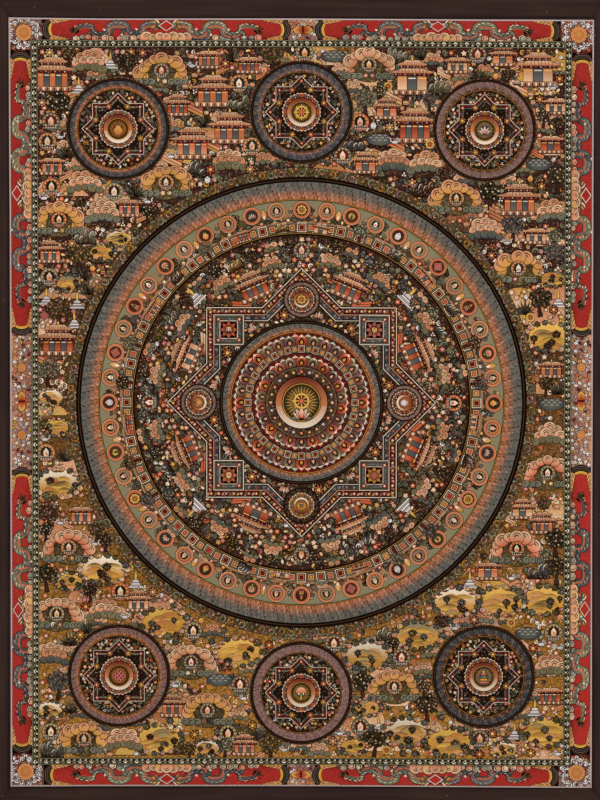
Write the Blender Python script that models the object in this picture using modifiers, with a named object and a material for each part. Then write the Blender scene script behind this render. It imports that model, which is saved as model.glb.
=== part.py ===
"""A thangka scroll painting hung flat: a painted cotton canvas sewn over a border of four dark cloth strips.

Metres, +Z up. The painting faces -Y, and the origin is the middle of the top edge, where the hanging is held.
"""

import math

import bmesh
import bpy
from mathutils import Vector

COLLECTION = "thangka_scroll_painting"
PATTERNS = "cutting_patterns"

# The painted canvas, and the border cloth that shows round it.
PAINTING_WIDTH = 0.759
PAINTING_HEIGHT = 1.000
SIDE_BORDER = 0.045
TOP_BORDER = 0.060
BOTTOM_BORDER = 0.060

# The cloths and how they are sewn.
CANVAS_THICK = 0.0012
CLOTH_THICK = 0.0015
LAP = 0.012  # how far the canvas lies over the border strips
HEM = 0.014  # how much of each strip is turned to the back at its outer edge
LAYER_GAP = 0.0003  # between the two layers of a hem
SEAM_GAP = 0.0004  # between pieces that are sewn to each other
PATTERN_REACH = 0.03  # how far a cutting pattern reaches in front of the cloth and behind it
PATTERN_MARGIN = 0.2  # how far it runs past a strip's edges, as a share of the mitre

# The canvas was never cut quite square. Each row is a share of the way along two facing edges, and how far
# each edge stands out there from a true rectangle, in metres.
SIDE_DRIFT = (
    # down, left, right
    (0.00, 0.0009, 0.0023),
    (0.25, -0.0007, 0.0018),
    (0.50, -0.0010, 0.0009),
    (0.75, -0.0018, -0.0002),
    (1.00, -0.0016, -0.0013),
)
END_DRIFT = (
    # across, top, bottom
    (0.00, 0.0014, 0.0003),
    (0.15, 0.0000, -0.0004),
    (0.50, 0.0001, 0.0000),
    (0.80, -0.0013, 0.0003),
    (1.00, -0.0018, 0.0012),
)

# How the cloth hangs: long shallow ripples, which start below the stretch that is held straight.
RIPPLES = (
    # metres per wave across, metres per wave down, depth in metres, start in turns
    (0.92, 1.40, 0.0022, 0.15),
    (0.47, 2.60, 0.0011, 0.60),
    (1.60, 0.55, 0.0008, 0.35),
)
HELD_STRAIGHT = 0.030
HANGS_FREELY = 0.300

# Facets.
CANVAS_CELLS = (24, 32)  # across, down
STRIP_CELLS_ACROSS = 28  # along the top and bottom strips
STRIP_CELLS_DOWN = 36  # along the side strips
FLAT_CELLS = 3  # over a strip's width
FOLD_CELLS = 6  # round the fold of a hem

OUTER_WIDTH = PAINTING_WIDTH + 2 * SIDE_BORDER
OUTER_HEIGHT = TOP_BORDER + PAINTING_HEIGHT + BOTTOM_BORDER
FOLD_RADIUS = (CLOTH_THICK + LAYER_GAP) / 2  # of the middle of the cloth
CANVAS_MIDDLE_Y = -(FOLD_RADIUS + CLOTH_THICK / 2 + SEAM_GAP + CANVAS_THICK / 2)


def clear_scene():
    """Removes what the startup scene holds."""
    for obj in list(bpy.data.objects):
        bpy.data.objects.remove(obj)


def make_collection(name):
    """A new collection in the scene."""
    collection = bpy.data.collections.new(name)
    bpy.context.scene.collection.children.link(collection)
    return collection


def make_material(name, colour, roughness):
    """A plain cloth finish."""
    material = bpy.data.materials.new(name)
    material.use_nodes = True
    shader = material.node_tree.nodes["Principled BSDF"]
    shader.inputs["Base Color"].default_value = (*colour, 1.0)
    shader.inputs["Roughness"].default_value = roughness
    shader.inputs["Metallic"].default_value = 0.0
    return material


def drift(table, share):
    """The two edges' drifts at a share of the way along, read between the table's rows."""
    for (start, *first), (end, *second) in zip(table, table[1:]):
        if share <= end:
            part = (share - start) / (end - start)
            return [a + (b - a) * part for a, b in zip(first, second)]
    return list(table[-1][1:])


def hang(x, z):
    """How far the cloth stands forward or back at a place on it."""
    down = min(1.0, max(0.0, (-z - HELD_STRAIGHT) / (HANGS_FREELY - HELD_STRAIGHT)))
    freedom = down * down * (3 - 2 * down)
    turns = ((x / across + z / fall + start, depth) for across, fall, depth, start in RIPPLES)
    return freedom * sum(depth * math.sin(2 * math.pi * turn) for turn, depth in turns)


def canvas_point(across, down):
    """A point on the middle of the painted canvas, from shares of its width and height."""
    left, right = drift(SIDE_DRIFT, down)
    top, bottom = drift(END_DRIFT, across)
    x_left = -PAINTING_WIDTH / 2 - left
    x_right = PAINTING_WIDTH / 2 + right
    z_top = -TOP_BORDER + top
    z_bottom = -TOP_BORDER - PAINTING_HEIGHT - bottom
    x = x_left + (x_right - x_left) * across
    z = z_top + (z_bottom - z_top) * down
    return Vector((x, CANVAS_MIDDLE_Y + hang(x, z), z))


def strip_section(width):
    """A strip's cross-section: distances out from its inner edge, with how far back each lies.

    The cloth runs out flat, turns over its folded edge, and comes back behind itself as the hem.
    """
    fold_centre = width - CLOTH_THICK / 2 - FOLD_RADIUS
    flat = [(fold_centre * i / FLAT_CELLS, -FOLD_RADIUS) for i in range(FLAT_CELLS)]
    angles = [math.pi * i / FOLD_CELLS for i in range(FOLD_CELLS + 1)]
    fold = [(fold_centre + FOLD_RADIUS * math.sin(a), -FOLD_RADIUS * math.cos(a)) for a in angles]
    return [*flat, *fold, (width - HEM, FOLD_RADIUS)]


def make_cloth(name, cells, place, thickness, material, collection):
    """A sheet made from a flat grid: place turns a grid corner's column and row into its point."""
    columns, rows = cells
    bm = bmesh.new()
    bmesh.ops.create_grid(bm, x_segments=columns, y_segments=rows, size=0.5)
    for vertex in bm.verts:
        column = round((vertex.co.x + 0.5) * columns)
        row = round((vertex.co.y + 0.5) * rows)
        vertex.co = place(column, row)
    mesh = bpy.data.meshes.new(name)
    bm.to_mesh(mesh)
    bm.free()
    mesh.materials.append(material)
    mesh.shade_smooth()
    obj = bpy.data.objects.new(name, mesh)
    collection.objects.link(obj)
    solidify = obj.modifiers.new("cloth_thickness", "SOLIDIFY")
    solidify.thickness = thickness
    solidify.offset = 0.0
    solidify.use_even_offset = True
    return obj


def make_pattern(name, corners, collection):
    """A strip's flat cutting pattern, as a block that reaches well in front of the cloth and behind it."""
    bm = bmesh.new()
    front = [bm.verts.new((x, -PATTERN_REACH, z)) for x, z in corners]
    made = bmesh.ops.extrude_face_region(bm, geom=[bm.faces.new(front)])
    back = [item for item in made["geom"] if isinstance(item, bmesh.types.BMVert)]
    bmesh.ops.translate(bm, verts=back, vec=(0.0, 2 * PATTERN_REACH, 0.0))
    bmesh.ops.recalc_face_normals(bm, faces=bm.faces)
    mesh = bpy.data.meshes.new(name)
    bm.to_mesh(mesh)
    bm.free()
    obj = bpy.data.objects.new(name, mesh)
    obj.hide_render = True
    obj.display_type = "WIRE"
    collection.objects.link(obj)
    return obj


def make_canvas(material, collection):
    """The painted canvas, one uneven rectangle of primed cotton."""
    columns, rows = CANVAS_CELLS

    def place(column, row):
        return canvas_point(column / columns, 1 - row / rows)

    make_cloth("painted_canvas", CANVAS_CELLS, place, CANVAS_THICK, material, collection)


def make_strip(name, inner, outer, cells_along, material, collection, patterns):
    """One border strip, hemmed along its outer edge and cut on the mitre at both ends.

    inner and outer are the (x, z) ends of its two edges, and the outer edge is on the left of the way
    from start to end.
    """
    inner_start, inner_end = (Vector(corner) for corner in inner)
    outer_start, outer_end = (Vector(corner) for corner in outer)
    along = (outer_end - outer_start).normalized()
    outwards = Vector((-along.y, along.x))
    width = (outer_start - inner_start).dot(outwards)
    section = strip_section(width)

    def place(column, row):
        out, back = section[row]
        x, z = outer_start.lerp(outer_end, column / cells_along) + outwards * (out - width)
        return Vector((x, back + hang(x, z), z))

    cells = (cells_along, len(section) - 1)
    strip = make_cloth(name, cells, place, CLOTH_THICK, material, collection)

    start_mitre = (outer_start - inner_start) * PATTERN_MARGIN
    end_mitre = (outer_end - inner_end) * PATTERN_MARGIN
    seam = along * SEAM_GAP
    corners = (
        inner_start - start_mitre + seam,
        inner_end - end_mitre - seam,
        outer_end + end_mitre - seam,
        outer_start + start_mitre + seam,
    )
    mitre = strip.modifiers.new("mitred_ends", "BOOLEAN")
    mitre.operation = "INTERSECT"
    mitre.solver = "EXACT"
    mitre.object = make_pattern(f"{name}_pattern", corners, patterns)


def make_border(material, collection, patterns):
    """The four strips round the canvas, which meet at mitred corners."""
    inner_x = PAINTING_WIDTH / 2 - LAP
    inner_top = -TOP_BORDER - LAP
    inner_bottom = -TOP_BORDER - PAINTING_HEIGHT + LAP
    outer_x = OUTER_WIDTH / 2
    corners = {
        # corner: inner (x, z), outer (x, z)
        "top_left": ((-inner_x, inner_top), (-outer_x, 0.0)),
        "top_right": ((inner_x, inner_top), (outer_x, 0.0)),
        "bottom_right": ((inner_x, inner_bottom), (outer_x, -OUTER_HEIGHT)),
        "bottom_left": ((-inner_x, inner_bottom), (-outer_x, -OUTER_HEIGHT)),
    }
    strips = (
        # piece, corner where it starts, corner where it ends, cells along it
        ("border_top", "top_left", "top_right", STRIP_CELLS_ACROSS),
        ("border_right", "top_right", "bottom_right", STRIP_CELLS_DOWN),
        ("border_bottom", "bottom_right", "bottom_left", STRIP_CELLS_ACROSS),
        ("border_left", "bottom_left", "top_left", STRIP_CELLS_DOWN),
    )
    for name, start, end, cells_along in strips:
        inner, outer = zip(corners[start], corners[end])
        make_strip(name, inner, outer, cells_along, material, collection, patterns)


def main():
    clear_scene()
    collection = make_collection(COLLECTION)
    patterns = make_collection(PATTERNS)
    painted = make_material("painted_canvas", (0.20, 0.11, 0.06), 0.75)
    border_cloth = make_material("border_cloth", (0.036, 0.020, 0.016), 0.90)
    make_canvas(painted, collection)
    make_border(border_cloth, collection, patterns)


main()
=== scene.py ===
"""The looks of a thangka scroll painting: a wheel mandala painted on cotton, sewn over a dark cloth surround.

The painting is drawn as a painter lays it down, colour over colour, with pens that stamp outlined shapes on a
flat picture in millimetres. Each picture is then flattened to one layer of coloured facets and laid on the
hanging cloth.
"""

import logging
import math
from collections.abc import Callable, Iterable, Sequence
from dataclasses import dataclass, field
from enum import Enum
from random import Random
from typing import Any

import bpy
import numpy as np
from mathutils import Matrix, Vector
from mathutils.geometry import delaunay_2d_cdt


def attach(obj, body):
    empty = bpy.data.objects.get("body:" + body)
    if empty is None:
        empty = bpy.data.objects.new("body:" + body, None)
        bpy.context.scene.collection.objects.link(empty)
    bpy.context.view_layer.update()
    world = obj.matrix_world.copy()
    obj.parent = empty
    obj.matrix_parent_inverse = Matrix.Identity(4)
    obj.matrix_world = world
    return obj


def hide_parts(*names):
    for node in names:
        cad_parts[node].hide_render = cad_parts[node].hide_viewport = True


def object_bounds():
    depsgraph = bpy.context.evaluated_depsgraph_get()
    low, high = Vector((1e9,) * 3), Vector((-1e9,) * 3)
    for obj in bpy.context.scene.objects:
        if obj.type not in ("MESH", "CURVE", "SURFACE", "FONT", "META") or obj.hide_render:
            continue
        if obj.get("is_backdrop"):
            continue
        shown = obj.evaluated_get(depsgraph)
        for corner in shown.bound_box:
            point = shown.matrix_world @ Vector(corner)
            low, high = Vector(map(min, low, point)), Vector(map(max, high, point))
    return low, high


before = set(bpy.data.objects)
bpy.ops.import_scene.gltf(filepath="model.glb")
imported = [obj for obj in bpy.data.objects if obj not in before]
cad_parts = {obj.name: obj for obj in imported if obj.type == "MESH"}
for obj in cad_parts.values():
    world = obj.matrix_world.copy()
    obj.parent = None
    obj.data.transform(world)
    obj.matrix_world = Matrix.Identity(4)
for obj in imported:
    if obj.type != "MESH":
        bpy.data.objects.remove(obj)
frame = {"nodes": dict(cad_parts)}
CAD_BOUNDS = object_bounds()

LOG = logging.getLogger("thangka")
BODY = "root"
MM = 0.001
TURN = 2 * math.pi
QUARTER = math.pi / 2

Point = tuple[float, float]
Outline = np.ndarray


class Paint(Enum):
    """The painter's colours and the cloths, as they show on a screen, from 0 to 255."""

    INK = (15, 7, 4)
    GROUND = (38, 24, 16)
    EARTH = (90, 60, 40)
    BARK = (62, 38, 28)
    MAROON = (96, 26, 22)
    RED = (168, 47, 40)
    VERMILION = (190, 64, 42)
    CORAL = (202, 98, 64)
    TERRACOTTA = (190, 116, 76)
    SALMON = (212, 150, 112)
    PEACH = (227, 184, 146)
    PINK = (188, 108, 94)
    OCHRE = (200, 142, 60)
    GOLD = (222, 176, 88)
    MUSTARD = (166, 114, 46)
    CREAM = (234, 218, 194)
    WHITE = (232, 222, 218)
    MAUVE = (136, 102, 96)
    LILAC = (182, 164, 162)
    SLATE = (64, 65, 68)
    STEEL = (98, 96, 90)
    TEAL = (102, 106, 92)
    SAGE = (130, 126, 98)
    OLIVE = (102, 86, 52)
    MOSS = (66, 56, 36)
    PINE = (40, 38, 26)
    BARE_COTTON = (206, 186, 184)
    RAW_COTTON = (196, 180, 152)
    BORDER_CLOTH = (51, 36, 33)
    WORN_CLOTH = (66, 48, 44)
    THREAD = (204, 188, 172)
    DARK_THREAD = (40, 27, 25)
    FLOOR = (226, 222, 214)

    @property
    def rgba(self) -> tuple[float, float, float, float]:
        """The colour as linear light from 0 to 1, with full alpha."""
        shares = (part / 255 for part in self.value)
        return (*(s / 12.92 if s <= 0.04045 else ((s + 0.055) / 1.055) ** 2.4 for s in shares), 1.0)


(
    INK, GROUND, EARTH, BARK, MAROON, RED, VERMILION, CORAL, TERRACOTTA, SALMON, PEACH, PINK, OCHRE, GOLD,
    MUSTARD, CREAM, WHITE, MAUVE, LILAC, SLATE, STEEL, TEAL, SAGE, OLIVE, MOSS, PINE,
    BARE_COTTON, RAW_COTTON, BORDER_CLOTH, WORN_CLOTH, THREAD, DARK_THREAD, FLOOR,
) = Paint


@dataclass(frozen=True)
class Wash:
    """A colour, or a blend from one colour to another, in the frame of the pen that lays it.

    begins is the share of the way from start to end at which the blend sets in, fine is how much finely
    brushed ornament it carries, and gold how much of it is gold.
    """

    near: Paint
    far: Paint | None = None
    start: Point = (0.0, 0.0)
    end: Point = (0.0, 1.0)
    outwards: bool = False
    begins: float = 0.0
    fine: float = 0.0
    gold: float = 0.0


def even(paint: Paint, fine: float = 0.0, gold: float = 0.0) -> Wash:
    """One even colour."""
    return Wash(paint, fine=fine, gold=gold)


def rise(low: Paint, high: Paint, start: float, end: float, fine: float = 0.0) -> Wash:
    """A blend upwards, from low at the height start to high at the height end."""
    return Wash(low, high, (0.0, start), (0.0, end), fine=fine)


def ring(inner: Paint, outer: Paint, start: float, end: float, fine: float = 0.0) -> Wash:
    """A blend outwards from the radius start to the radius end, round the pen's point."""
    return Wash(inner, outer, (0.0, 0.0), (end, 0.0), True, start / end, fine)


GILT = even(GOLD, gold=0.8)


# Outlines, in millimetres, as arrays of points


def points(*pairs: Point) -> np.ndarray:
    """Points given one by one."""
    return np.array(pairs, float)


def oval(across: float, up: float | None = None, x: float = 0.0, y: float = 0.0, sides: int = 0) -> Outline:
    """A circle, or an ellipse where up differs from across. Small ones have fewer sides."""
    up = across if up is None else up
    sides = sides or int(min(44, 5 + 2.2 * math.sqrt(max(across, up)) + max(across, up) * 0.35))
    angles = np.arange(sides) * TURN / sides
    return np.stack([x + across * np.cos(angles), y + up * np.sin(angles)], 1)


def box(left: float, bottom: float, right: float, top: float) -> np.ndarray:
    """An upright rectangle."""
    return points((left, bottom), (right, bottom), (right, top), (left, top))


def square(half: float) -> np.ndarray:
    """An upright square round the pen's point."""
    return box(-half, -half, half, half)


def lobed(radius: float, lobes: int, depth: float, steps: int = 3, squash: float = 1.0) -> np.ndarray:
    """A round outline with scalloped lobes, as of a flower, a treetop or a bush."""
    angles = np.arange(lobes * steps) * TURN / (lobes * steps)
    reach = radius * (1 - depth + depth * np.abs(np.sin(angles * lobes / 2)))
    return np.stack([reach * np.cos(angles), squash * reach * np.sin(angles)], 1)


def petal(length: float, width: float, base: float = 0.3, steps: int = 2, y: float = 0.0) -> np.ndarray:
    """A pointed petal that grows up from the height y. base is its foot's share of the width.

    Args:
        length: how far it grows.
        width: its width.
        base: its foot's share of the width.
        steps: how many steps each of its sides has.
        y: the height that it grows from.

    Returns:
        The outline.
    """
    shares = np.linspace(0, 1, steps + 1)[:-1]
    half = width / 2 * (base + (1 - base) * np.sin(np.pi * (0.12 + 0.76 * shares)) ** 0.8)
    half[0] = width / 2 * base
    right = np.stack([half, y + shares * length * 0.86], 1)
    return np.concatenate([right, [[0.0, y + length]], right[::-1] * (-1, 1)])


def crescent(
    radius: float,
    width: float,
    start: float = 0.02,
    end: float = 0.48,
    steps: int = 4,
    x: float = 0.0,
    y: float = 0.0,
) -> Outline:
    """An arc that swells to width in its middle and comes to a point at both ends. Angles are in turns.

    Args:
        radius: the arc's radius.
        width: its width in its middle.
        start: the angle where it starts.
        end: the angle where it ends.
        steps: how many steps each of its sides has.
        x: its centre's place to the right.
        y: its centre's place upwards.

    Returns:
        The outline.
    """
    shares = np.linspace(0, 1, steps + 1)
    angles = (start + (end - start) * shares) * TURN
    half = (width / 2 * np.sin(np.pi * shares))[:, None]
    way = np.stack([np.cos(angles), np.sin(angles)], 1)
    return np.concatenate([way * (radius + half), (way * (radius - half))[-2:0:-1]]) + (x, y)


def ribbon(path: np.ndarray, widths: Sequence[float]) -> np.ndarray:
    """A stroke along a path. widths are read along it from its start to its end.

    Args:
        path: the points of its middle line.
        widths: its widths, spaced evenly along it.

    Returns:
        The outline.
    """
    ahead = np.gradient(path, axis=0)
    ahead /= np.maximum(np.linalg.norm(ahead, axis=1, keepdims=True), 1e-9)
    aside = np.stack([-ahead[:, 1], ahead[:, 0]], 1)
    half = np.interp(np.linspace(0, 1, len(path)), np.linspace(0, 1, len(widths)), widths)[:, None] / 2
    return np.concatenate([path - aside * half, (path + aside * half)[::-1]])


def arc(radius: float, start: float, end: float, steps: int, x: float = 0.0, y: float = 0.0) -> np.ndarray:
    """A path along an arc. Angles are in turns."""
    angles = np.linspace(start, end, steps + 1) * TURN
    return np.stack([x + radius * np.cos(angles), y + radius * np.sin(angles)], 1)


def rounded(half_length: float, half_width: float, corner: float) -> np.ndarray:
    """A long box with rounded corners, centred on the pen's point."""
    x, y = half_length - corner, half_width - corner
    middles = ((x, y), (-x, y), (-x, -y), (x, -y))
    quarters = [arc(corner, turn / 4, (turn + 1) / 4, 6, *middle) for turn, middle in enumerate(middles)]
    return np.concatenate(quarters)


def doubled_areas(outlines: np.ndarray) -> np.ndarray:
    """Twice the area of each outline, which is below 0 where it runs clockwise."""
    x, y = outlines[..., 0], outlines[..., 1]
    return (x * np.roll(y, -1, axis=-1) - y * np.roll(x, -1, axis=-1)).sum(-1)


def anticlockwise(outline: np.ndarray) -> np.ndarray:
    """The outline, turned round if it runs clockwise."""
    return outline if doubled_areas(outline) > 0 else outline[::-1]


def divided(outline: np.ndarray, longest: float) -> np.ndarray:
    """The outline, with more points on its long edges, so that it can bend with the cloth.

    Args:
        outline: the outline.
        longest: the longest edge that is left whole.

    Returns:
        The outline.
    """
    after = np.roll(outline, -1, axis=0)
    parts = np.ceil(np.linalg.norm(after - outline, axis=1) / longest).astype(int).clip(1)
    if parts.max() == 1:
        return outline
    edges = zip(outline, after - outline, parts)
    return np.concatenate([start + way * (np.arange(count)[:, None] / count) for start, way, count in edges])


def grown(outline: np.ndarray, by: float) -> np.ndarray:
    """An anticlockwise outline moved out by a distance.

    Args:
        outline: the outline.
        by: how far each edge moves.

    Returns:
        The outline.
    """
    edges = np.roll(outline, -1, axis=0) - outline
    edges /= np.maximum(np.linalg.norm(edges, axis=1, keepdims=True), 1e-9)
    outwards = np.stack([edges[:, 1], -edges[:, 0]], 1)
    before = np.roll(outwards, 1, axis=0)
    cosine = (outwards * before).sum(1, keepdims=True)
    return outline + (outwards + before) * by / np.maximum(1 + cosine, 0.5)


# Pictures and pens


@dataclass
class Picture:
    """Painted shapes, each over the ones before it, in millimetres on the canvas. rng varies them."""

    seed: int
    rng: Random
    uneven: float = 0.16
    longest_edge: float = 14.0
    outlines: list[np.ndarray] = field(default_factory=list)
    colours: list[tuple[float, ...]] = field(default_factory=list)
    places: list[tuple[float, ...]] = field(default_factory=list)

    def __post_init__(self) -> None:
        """Sets up the source of the hand's small unevenness."""
        self.hand = Random(self.seed)

    def within(self, low: np.ndarray, high: np.ndarray) -> "Picture":
        """The shapes that reach into a box."""
        shapes = zip(self.outlines, self.colours, self.places)
        kept = [shape for shape in shapes if (shape[0].max(0) > low).all() and (shape[0].min(0) < high).all()]
        return Picture(self.seed, self.rng, self.uneven, self.longest_edge, *map(list, zip(*kept)))

    def lay(self, outline: np.ndarray, wash: Wash, start: np.ndarray, end: np.ndarray) -> None:
        """Adds one shape.

        Args:
            outline: its points on the canvas.
            wash: its colours.
            start: where its blend starts on the canvas.
            end: where its blend ends.
        """
        strength = 1 + self.uneven * self.hand.uniform(-1, 1)
        tones = [part * strength for paint in (wash.near, wash.far or wash.near) for part in paint.rgba[:3]]
        self.outlines.append(divided(anticlockwise(outline), self.longest_edge))
        self.colours.append((*tones, wash.fine, wash.gold))
        self.places.append((*start, *(end - start), float(wash.outwards), wash.begins))


@dataclass(frozen=True)
class Pen:
    """Lays shapes on a picture in a frame of its own, which can be moved, turned, sized and mirrored."""

    picture: Picture
    line: float = 0.7
    frame: np.ndarray = field(default_factory=lambda: np.eye(2))
    place: np.ndarray = field(default_factory=lambda: np.zeros(2))

    def at(
        self,
        x: float,
        y: float,
        turn: float = 0.0,
        size: float = 1.0,
        flip: bool = False,
        upside: bool = False,
    ) -> "Pen":
        """A pen that is set down at a point of this one's frame.

        Args:
            x: the place to the right.
            y: the place upwards.
            turn: how far it is turned anticlockwise, in turns.
            size: how much larger it draws.
            flip: whether it draws mirrored, left for right.
            upside: whether it draws mirrored, top for bottom.

        Returns:
            The new pen, with this one's line.
        """
        cosine, sine = math.cos(turn * TURN) * size, math.sin(turn * TURN) * size
        local = np.array(((cosine, -sine), (sine, cosine))) * (1 - 2 * flip, 1 - 2 * upside)
        return Pen(self.picture, self.line, self.frame @ local, self.on_canvas(np.array((x, y))))

    def round(self, count: int, radius: float, start: float = 0.0) -> Iterable["Pen"]:
        """Pens set round a circle, each with its upward way pointing outwards."""
        for step in range(count):
            turn = start + step / count
            angle = turn * TURN + QUARTER
            yield self.at(radius * math.cos(angle), radius * math.sin(angle), turn)

    def lined(self, line: float) -> "Pen":
        """The same pen with another width of line."""
        return Pen(self.picture, line, self.frame, self.place)

    def upright(self) -> "Pen":
        """A pen at the same place, with the canvas's own frame."""
        return Pen(self.picture, self.line, place=self.place)

    def on_canvas(self, where: np.ndarray) -> np.ndarray:
        """A point or points of the pen's frame, on the canvas."""
        return where @ self.frame.T + self.place

    def fill(self, outline: np.ndarray, wash: Wash | Paint) -> None:
        """Lays a shape with no line round it."""
        wash = even(wash) if isinstance(wash, Paint) else wash
        start, end = (self.on_canvas(np.array(spot)) for spot in (wash.start, wash.end))
        self.picture.lay(self.on_canvas(outline), wash, start, end)

    def draw(self, outline: np.ndarray, wash: Wash | Paint, ink: Paint = INK) -> None:
        """Lays a shape with an inked line round it."""
        around = grown(anticlockwise(self.on_canvas(outline)), self.line)
        self.picture.lay(around, even(ink), self.place, self.place)
        self.fill(outline, wash)

    def discs(self, sides: int, *bands: tuple[float, Wash | Paint]) -> None:
        """Lays discs over one another, each a radius and its wash, the largest first."""
        for radius, wash in bands:
            self.fill(oval(radius, sides=sides), wash)

    def pick(self, choices: Sequence[Any]) -> Any:
        """One of some choices, at random."""
        return self.picture.rng.choice(choices)

    def between(self, low: float, high: float) -> float:
        """A number between two others, at random."""
        return self.picture.rng.uniform(low, high)

    def chance(self, share: float) -> bool:
        """Whether a thing happens that does so in this share of cases."""
        return self.picture.rng.random() < share


# Small ornaments. Each is drawn with a pen at its middle or its foot.

WARM = (TERRACOTTA, SALMON, CORAL, PEACH, OCHRE, PINK)
COOL = (TEAL, SAGE, STEEL, OLIVE)
PALE = (CREAM, PEACH, LILAC, WHITE)
WARM_CLOUDS = ((CORAL, PEACH), (TERRACOTTA, PEACH), (TERRACOTTA, SALMON))
COOL_CLOUDS = ((STEEL, SAGE), (OLIVE, SAGE), (SLATE, TEAL))
# A roof's outline, in halves of its width and in its height.
EAVE = points(
    (-1.12, 0.25), (-0.94, 0), (0.94, 0), (1.12, 0.25), (0.66, 0.62), (0.5, 1), (-0.5, 1), (-0.66, 0.62)
)


def floret(pen: Pen, size: float, petals: Paint, heart: Paint = CREAM) -> None:
    """A small open flower."""
    pen.draw(lobed(size, 5, 0.42, 2), petals)
    pen.fill(oval(size * 0.34, sides=5), heart)


def sprig(pen: Pen, size: float, leaf: Paint) -> None:
    """Three leaves on one foot."""
    for turn, length in ((-0.13, 1.3), (0.13, 1.3), (0.0, 1.5)):
        pen.at(0, -size * 0.5, turn).draw(petal(size * length, size * 0.6), rise(GROUND, leaf, 0, size))


def comma(pen: Pen, size: float, paint: Paint) -> None:
    """A curled stroke with a dot in its hollow."""
    pen.fill(crescent(size, size * 0.66, 0.05, 0.72, 5), paint)
    pen.fill(oval(size * 0.26, sides=5), paint)


def dots(pen: Pen, size: float, paint: Paint) -> None:
    """Three dots together."""
    for part in pen.round(3, size * 0.62):
        part.fill(oval(size * 0.38, sides=5), paint)


def flame(pen: Pen, size: float, paint: Paint) -> None:
    """A flame with a pale heart."""
    pen.draw(petal(size * 2, size * 1.1, 0.5, 3), rise(paint, GOLD, 0, size * 2))
    pen.fill(petal(size * 1.1, size * 0.5, 0.5), CREAM)


def bush(pen: Pen, size: float, paint: Paint) -> None:
    """A dark bush with brushed leaves and curled edges."""
    pen.draw(lobed(size * 1.25, 6, 0.2, 2, 0.85), ring(MOSS, paint, 0, size * 1.3, 0.9))
    for part in pen.round(3, size * 0.55):
        part.fill(crescent(size * 0.42, size * 0.2, 0.05, 0.45, 3), INK)


def curl_cloud(pen: Pen, size: float, paint: Paint, tail: float = 1.0) -> None:
    """A single curled cloud with a drawn-out tail."""
    near, far = size * 1.2 * tail, size * 2.3 * tail
    wisp = points((size * 0.2, -size * 0.5), (near, -size * 0.62), (far, -size * 0.25))
    pen.draw(ribbon(wisp, (size * 0.7, size * 0.5, 0.1)), rise(EARTH, paint, -size, 0))
    pen.draw(lobed(size, 6, 0.16, 2, 0.86), rise(paint, CREAM, -size * 0.6, size * 1.6))
    pen.fill(crescent(size * 0.5, size * 0.3, 0.0, 0.75, 5), EARTH)


def filler(pen: Pen, size: float, leafy: float = 0.5) -> None:
    """One of the small ornaments, picked at random. leafy is how often it is a green one.

    Args:
        pen: the pen, at its middle.
        size: about half its width.
        leafy: how often it is a green one.
    """
    if pen.chance(leafy):
        pen.pick((sprig, bush, bush, comma))(pen, size, pen.pick(COOL))
    elif pen.chance(0.3):
        floret(pen, size, pen.pick(WARM), pen.pick(PALE))
    else:
        small = pen.pick((comma, dots, flame, curl_cloud))
        small(pen, size * 0.8, pen.pick(WARM + (CREAM, WHITE, SAGE, MUSTARD)))


def rosette(pen: Pen, radius: float, petals: int, paint: Paint) -> None:
    """A round flower head with curled petals.

    Args:
        pen: the pen, at its middle.
        radius: its radius.
        petals: how many petals it has.
        paint: the petals' colour.
    """
    pen.fill(lobed(radius + pen.line, petals, 0.12), INK)
    for part in pen.round(petals, radius * 0.36):
        tones = rise(MAROON, paint, -radius * 0.1, radius * 0.5)
        part.draw(petal(radius * 0.62, radius * 4.0 / petals, 0.4), tones)
    pen.fill(oval(radius * 0.36, sides=7), ring(CREAM, GOLD, 0, radius * 0.36))


def lotus(pen: Pen, width: float, paint: Paint = PINK, leaf: Paint = TEAL) -> None:
    """An open lotus seen from the side, on two leaves."""
    for turn in (-0.25, 0.25):
        pen.at(0, 0, turn).draw(petal(width * 0.56, width * 0.24, 0.5), rise(MOSS, leaf, 0, width * 0.5))
    for turn, length in ((-0.17, 0.5), (0.17, 0.5), (-0.09, 0.56), (0.09, 0.56), (0.0, 0.6)):
        pen.at(0, 0, turn).draw(petal(width * length, width * 0.25, 0.5), rise(paint, CREAM, 0, width * 0.6))


def cloud_lobe(
    pen: Pen, radius: float, wide: float, wash: Wash, outer: Point = (0.7, 0.2), inner: Point = (0.36, 0.26)
) -> None:
    """One lobe of a cloud with two curled lines in it.

    Args:
        pen: a pen at the lobe's middle.
        radius: its height from there.
        wide: how much wider than high it is.
        wash: its colours.
        outer: the outer curl's radius and width, as shares of the lobe's radius.
        inner: the inner curl's.
    """
    pen.draw(oval(radius * wide, radius), wash)
    pen.fill(crescent(radius * outer[0], radius * outer[1]), EARTH)
    pen.fill(crescent(radius * inner[0], radius * inner[1], 0.0, 0.6), EARTH)


def cloud(pen: Pen, width: float, warm: bool = True) -> None:
    """A heap of scalloped cloud, with cool curls along its foot.

    Args:
        pen: the pen, at its middle.
        width: its width.
        warm: whether its upper rows are of warm colours.
    """
    rows = 3 if width > 26 else 2
    for row in range(rows):
        lobes = row + 2 + (width > 38)
        cool = row == rows - 1 or not warm
        low, high = pen.pick(COOL_CLOUDS if cool else WARM_CLOUDS)
        for step in range(lobes):
            share = (step + 0.5) / lobes - 0.5
            radius = width * pen.between(0.12, 0.17) * (0.75 if cool else 1.0)
            x, y = share * width * (0.62 + 0.2 * row), width * (0.36 - 0.17 * row - 0.5 * share * share)
            lobe = pen.at(x, y, pen.between(-0.03, 0.03))
            cloud_lobe(lobe, radius, 1.12, rise(low, high, -radius, radius * 0.7))


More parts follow.
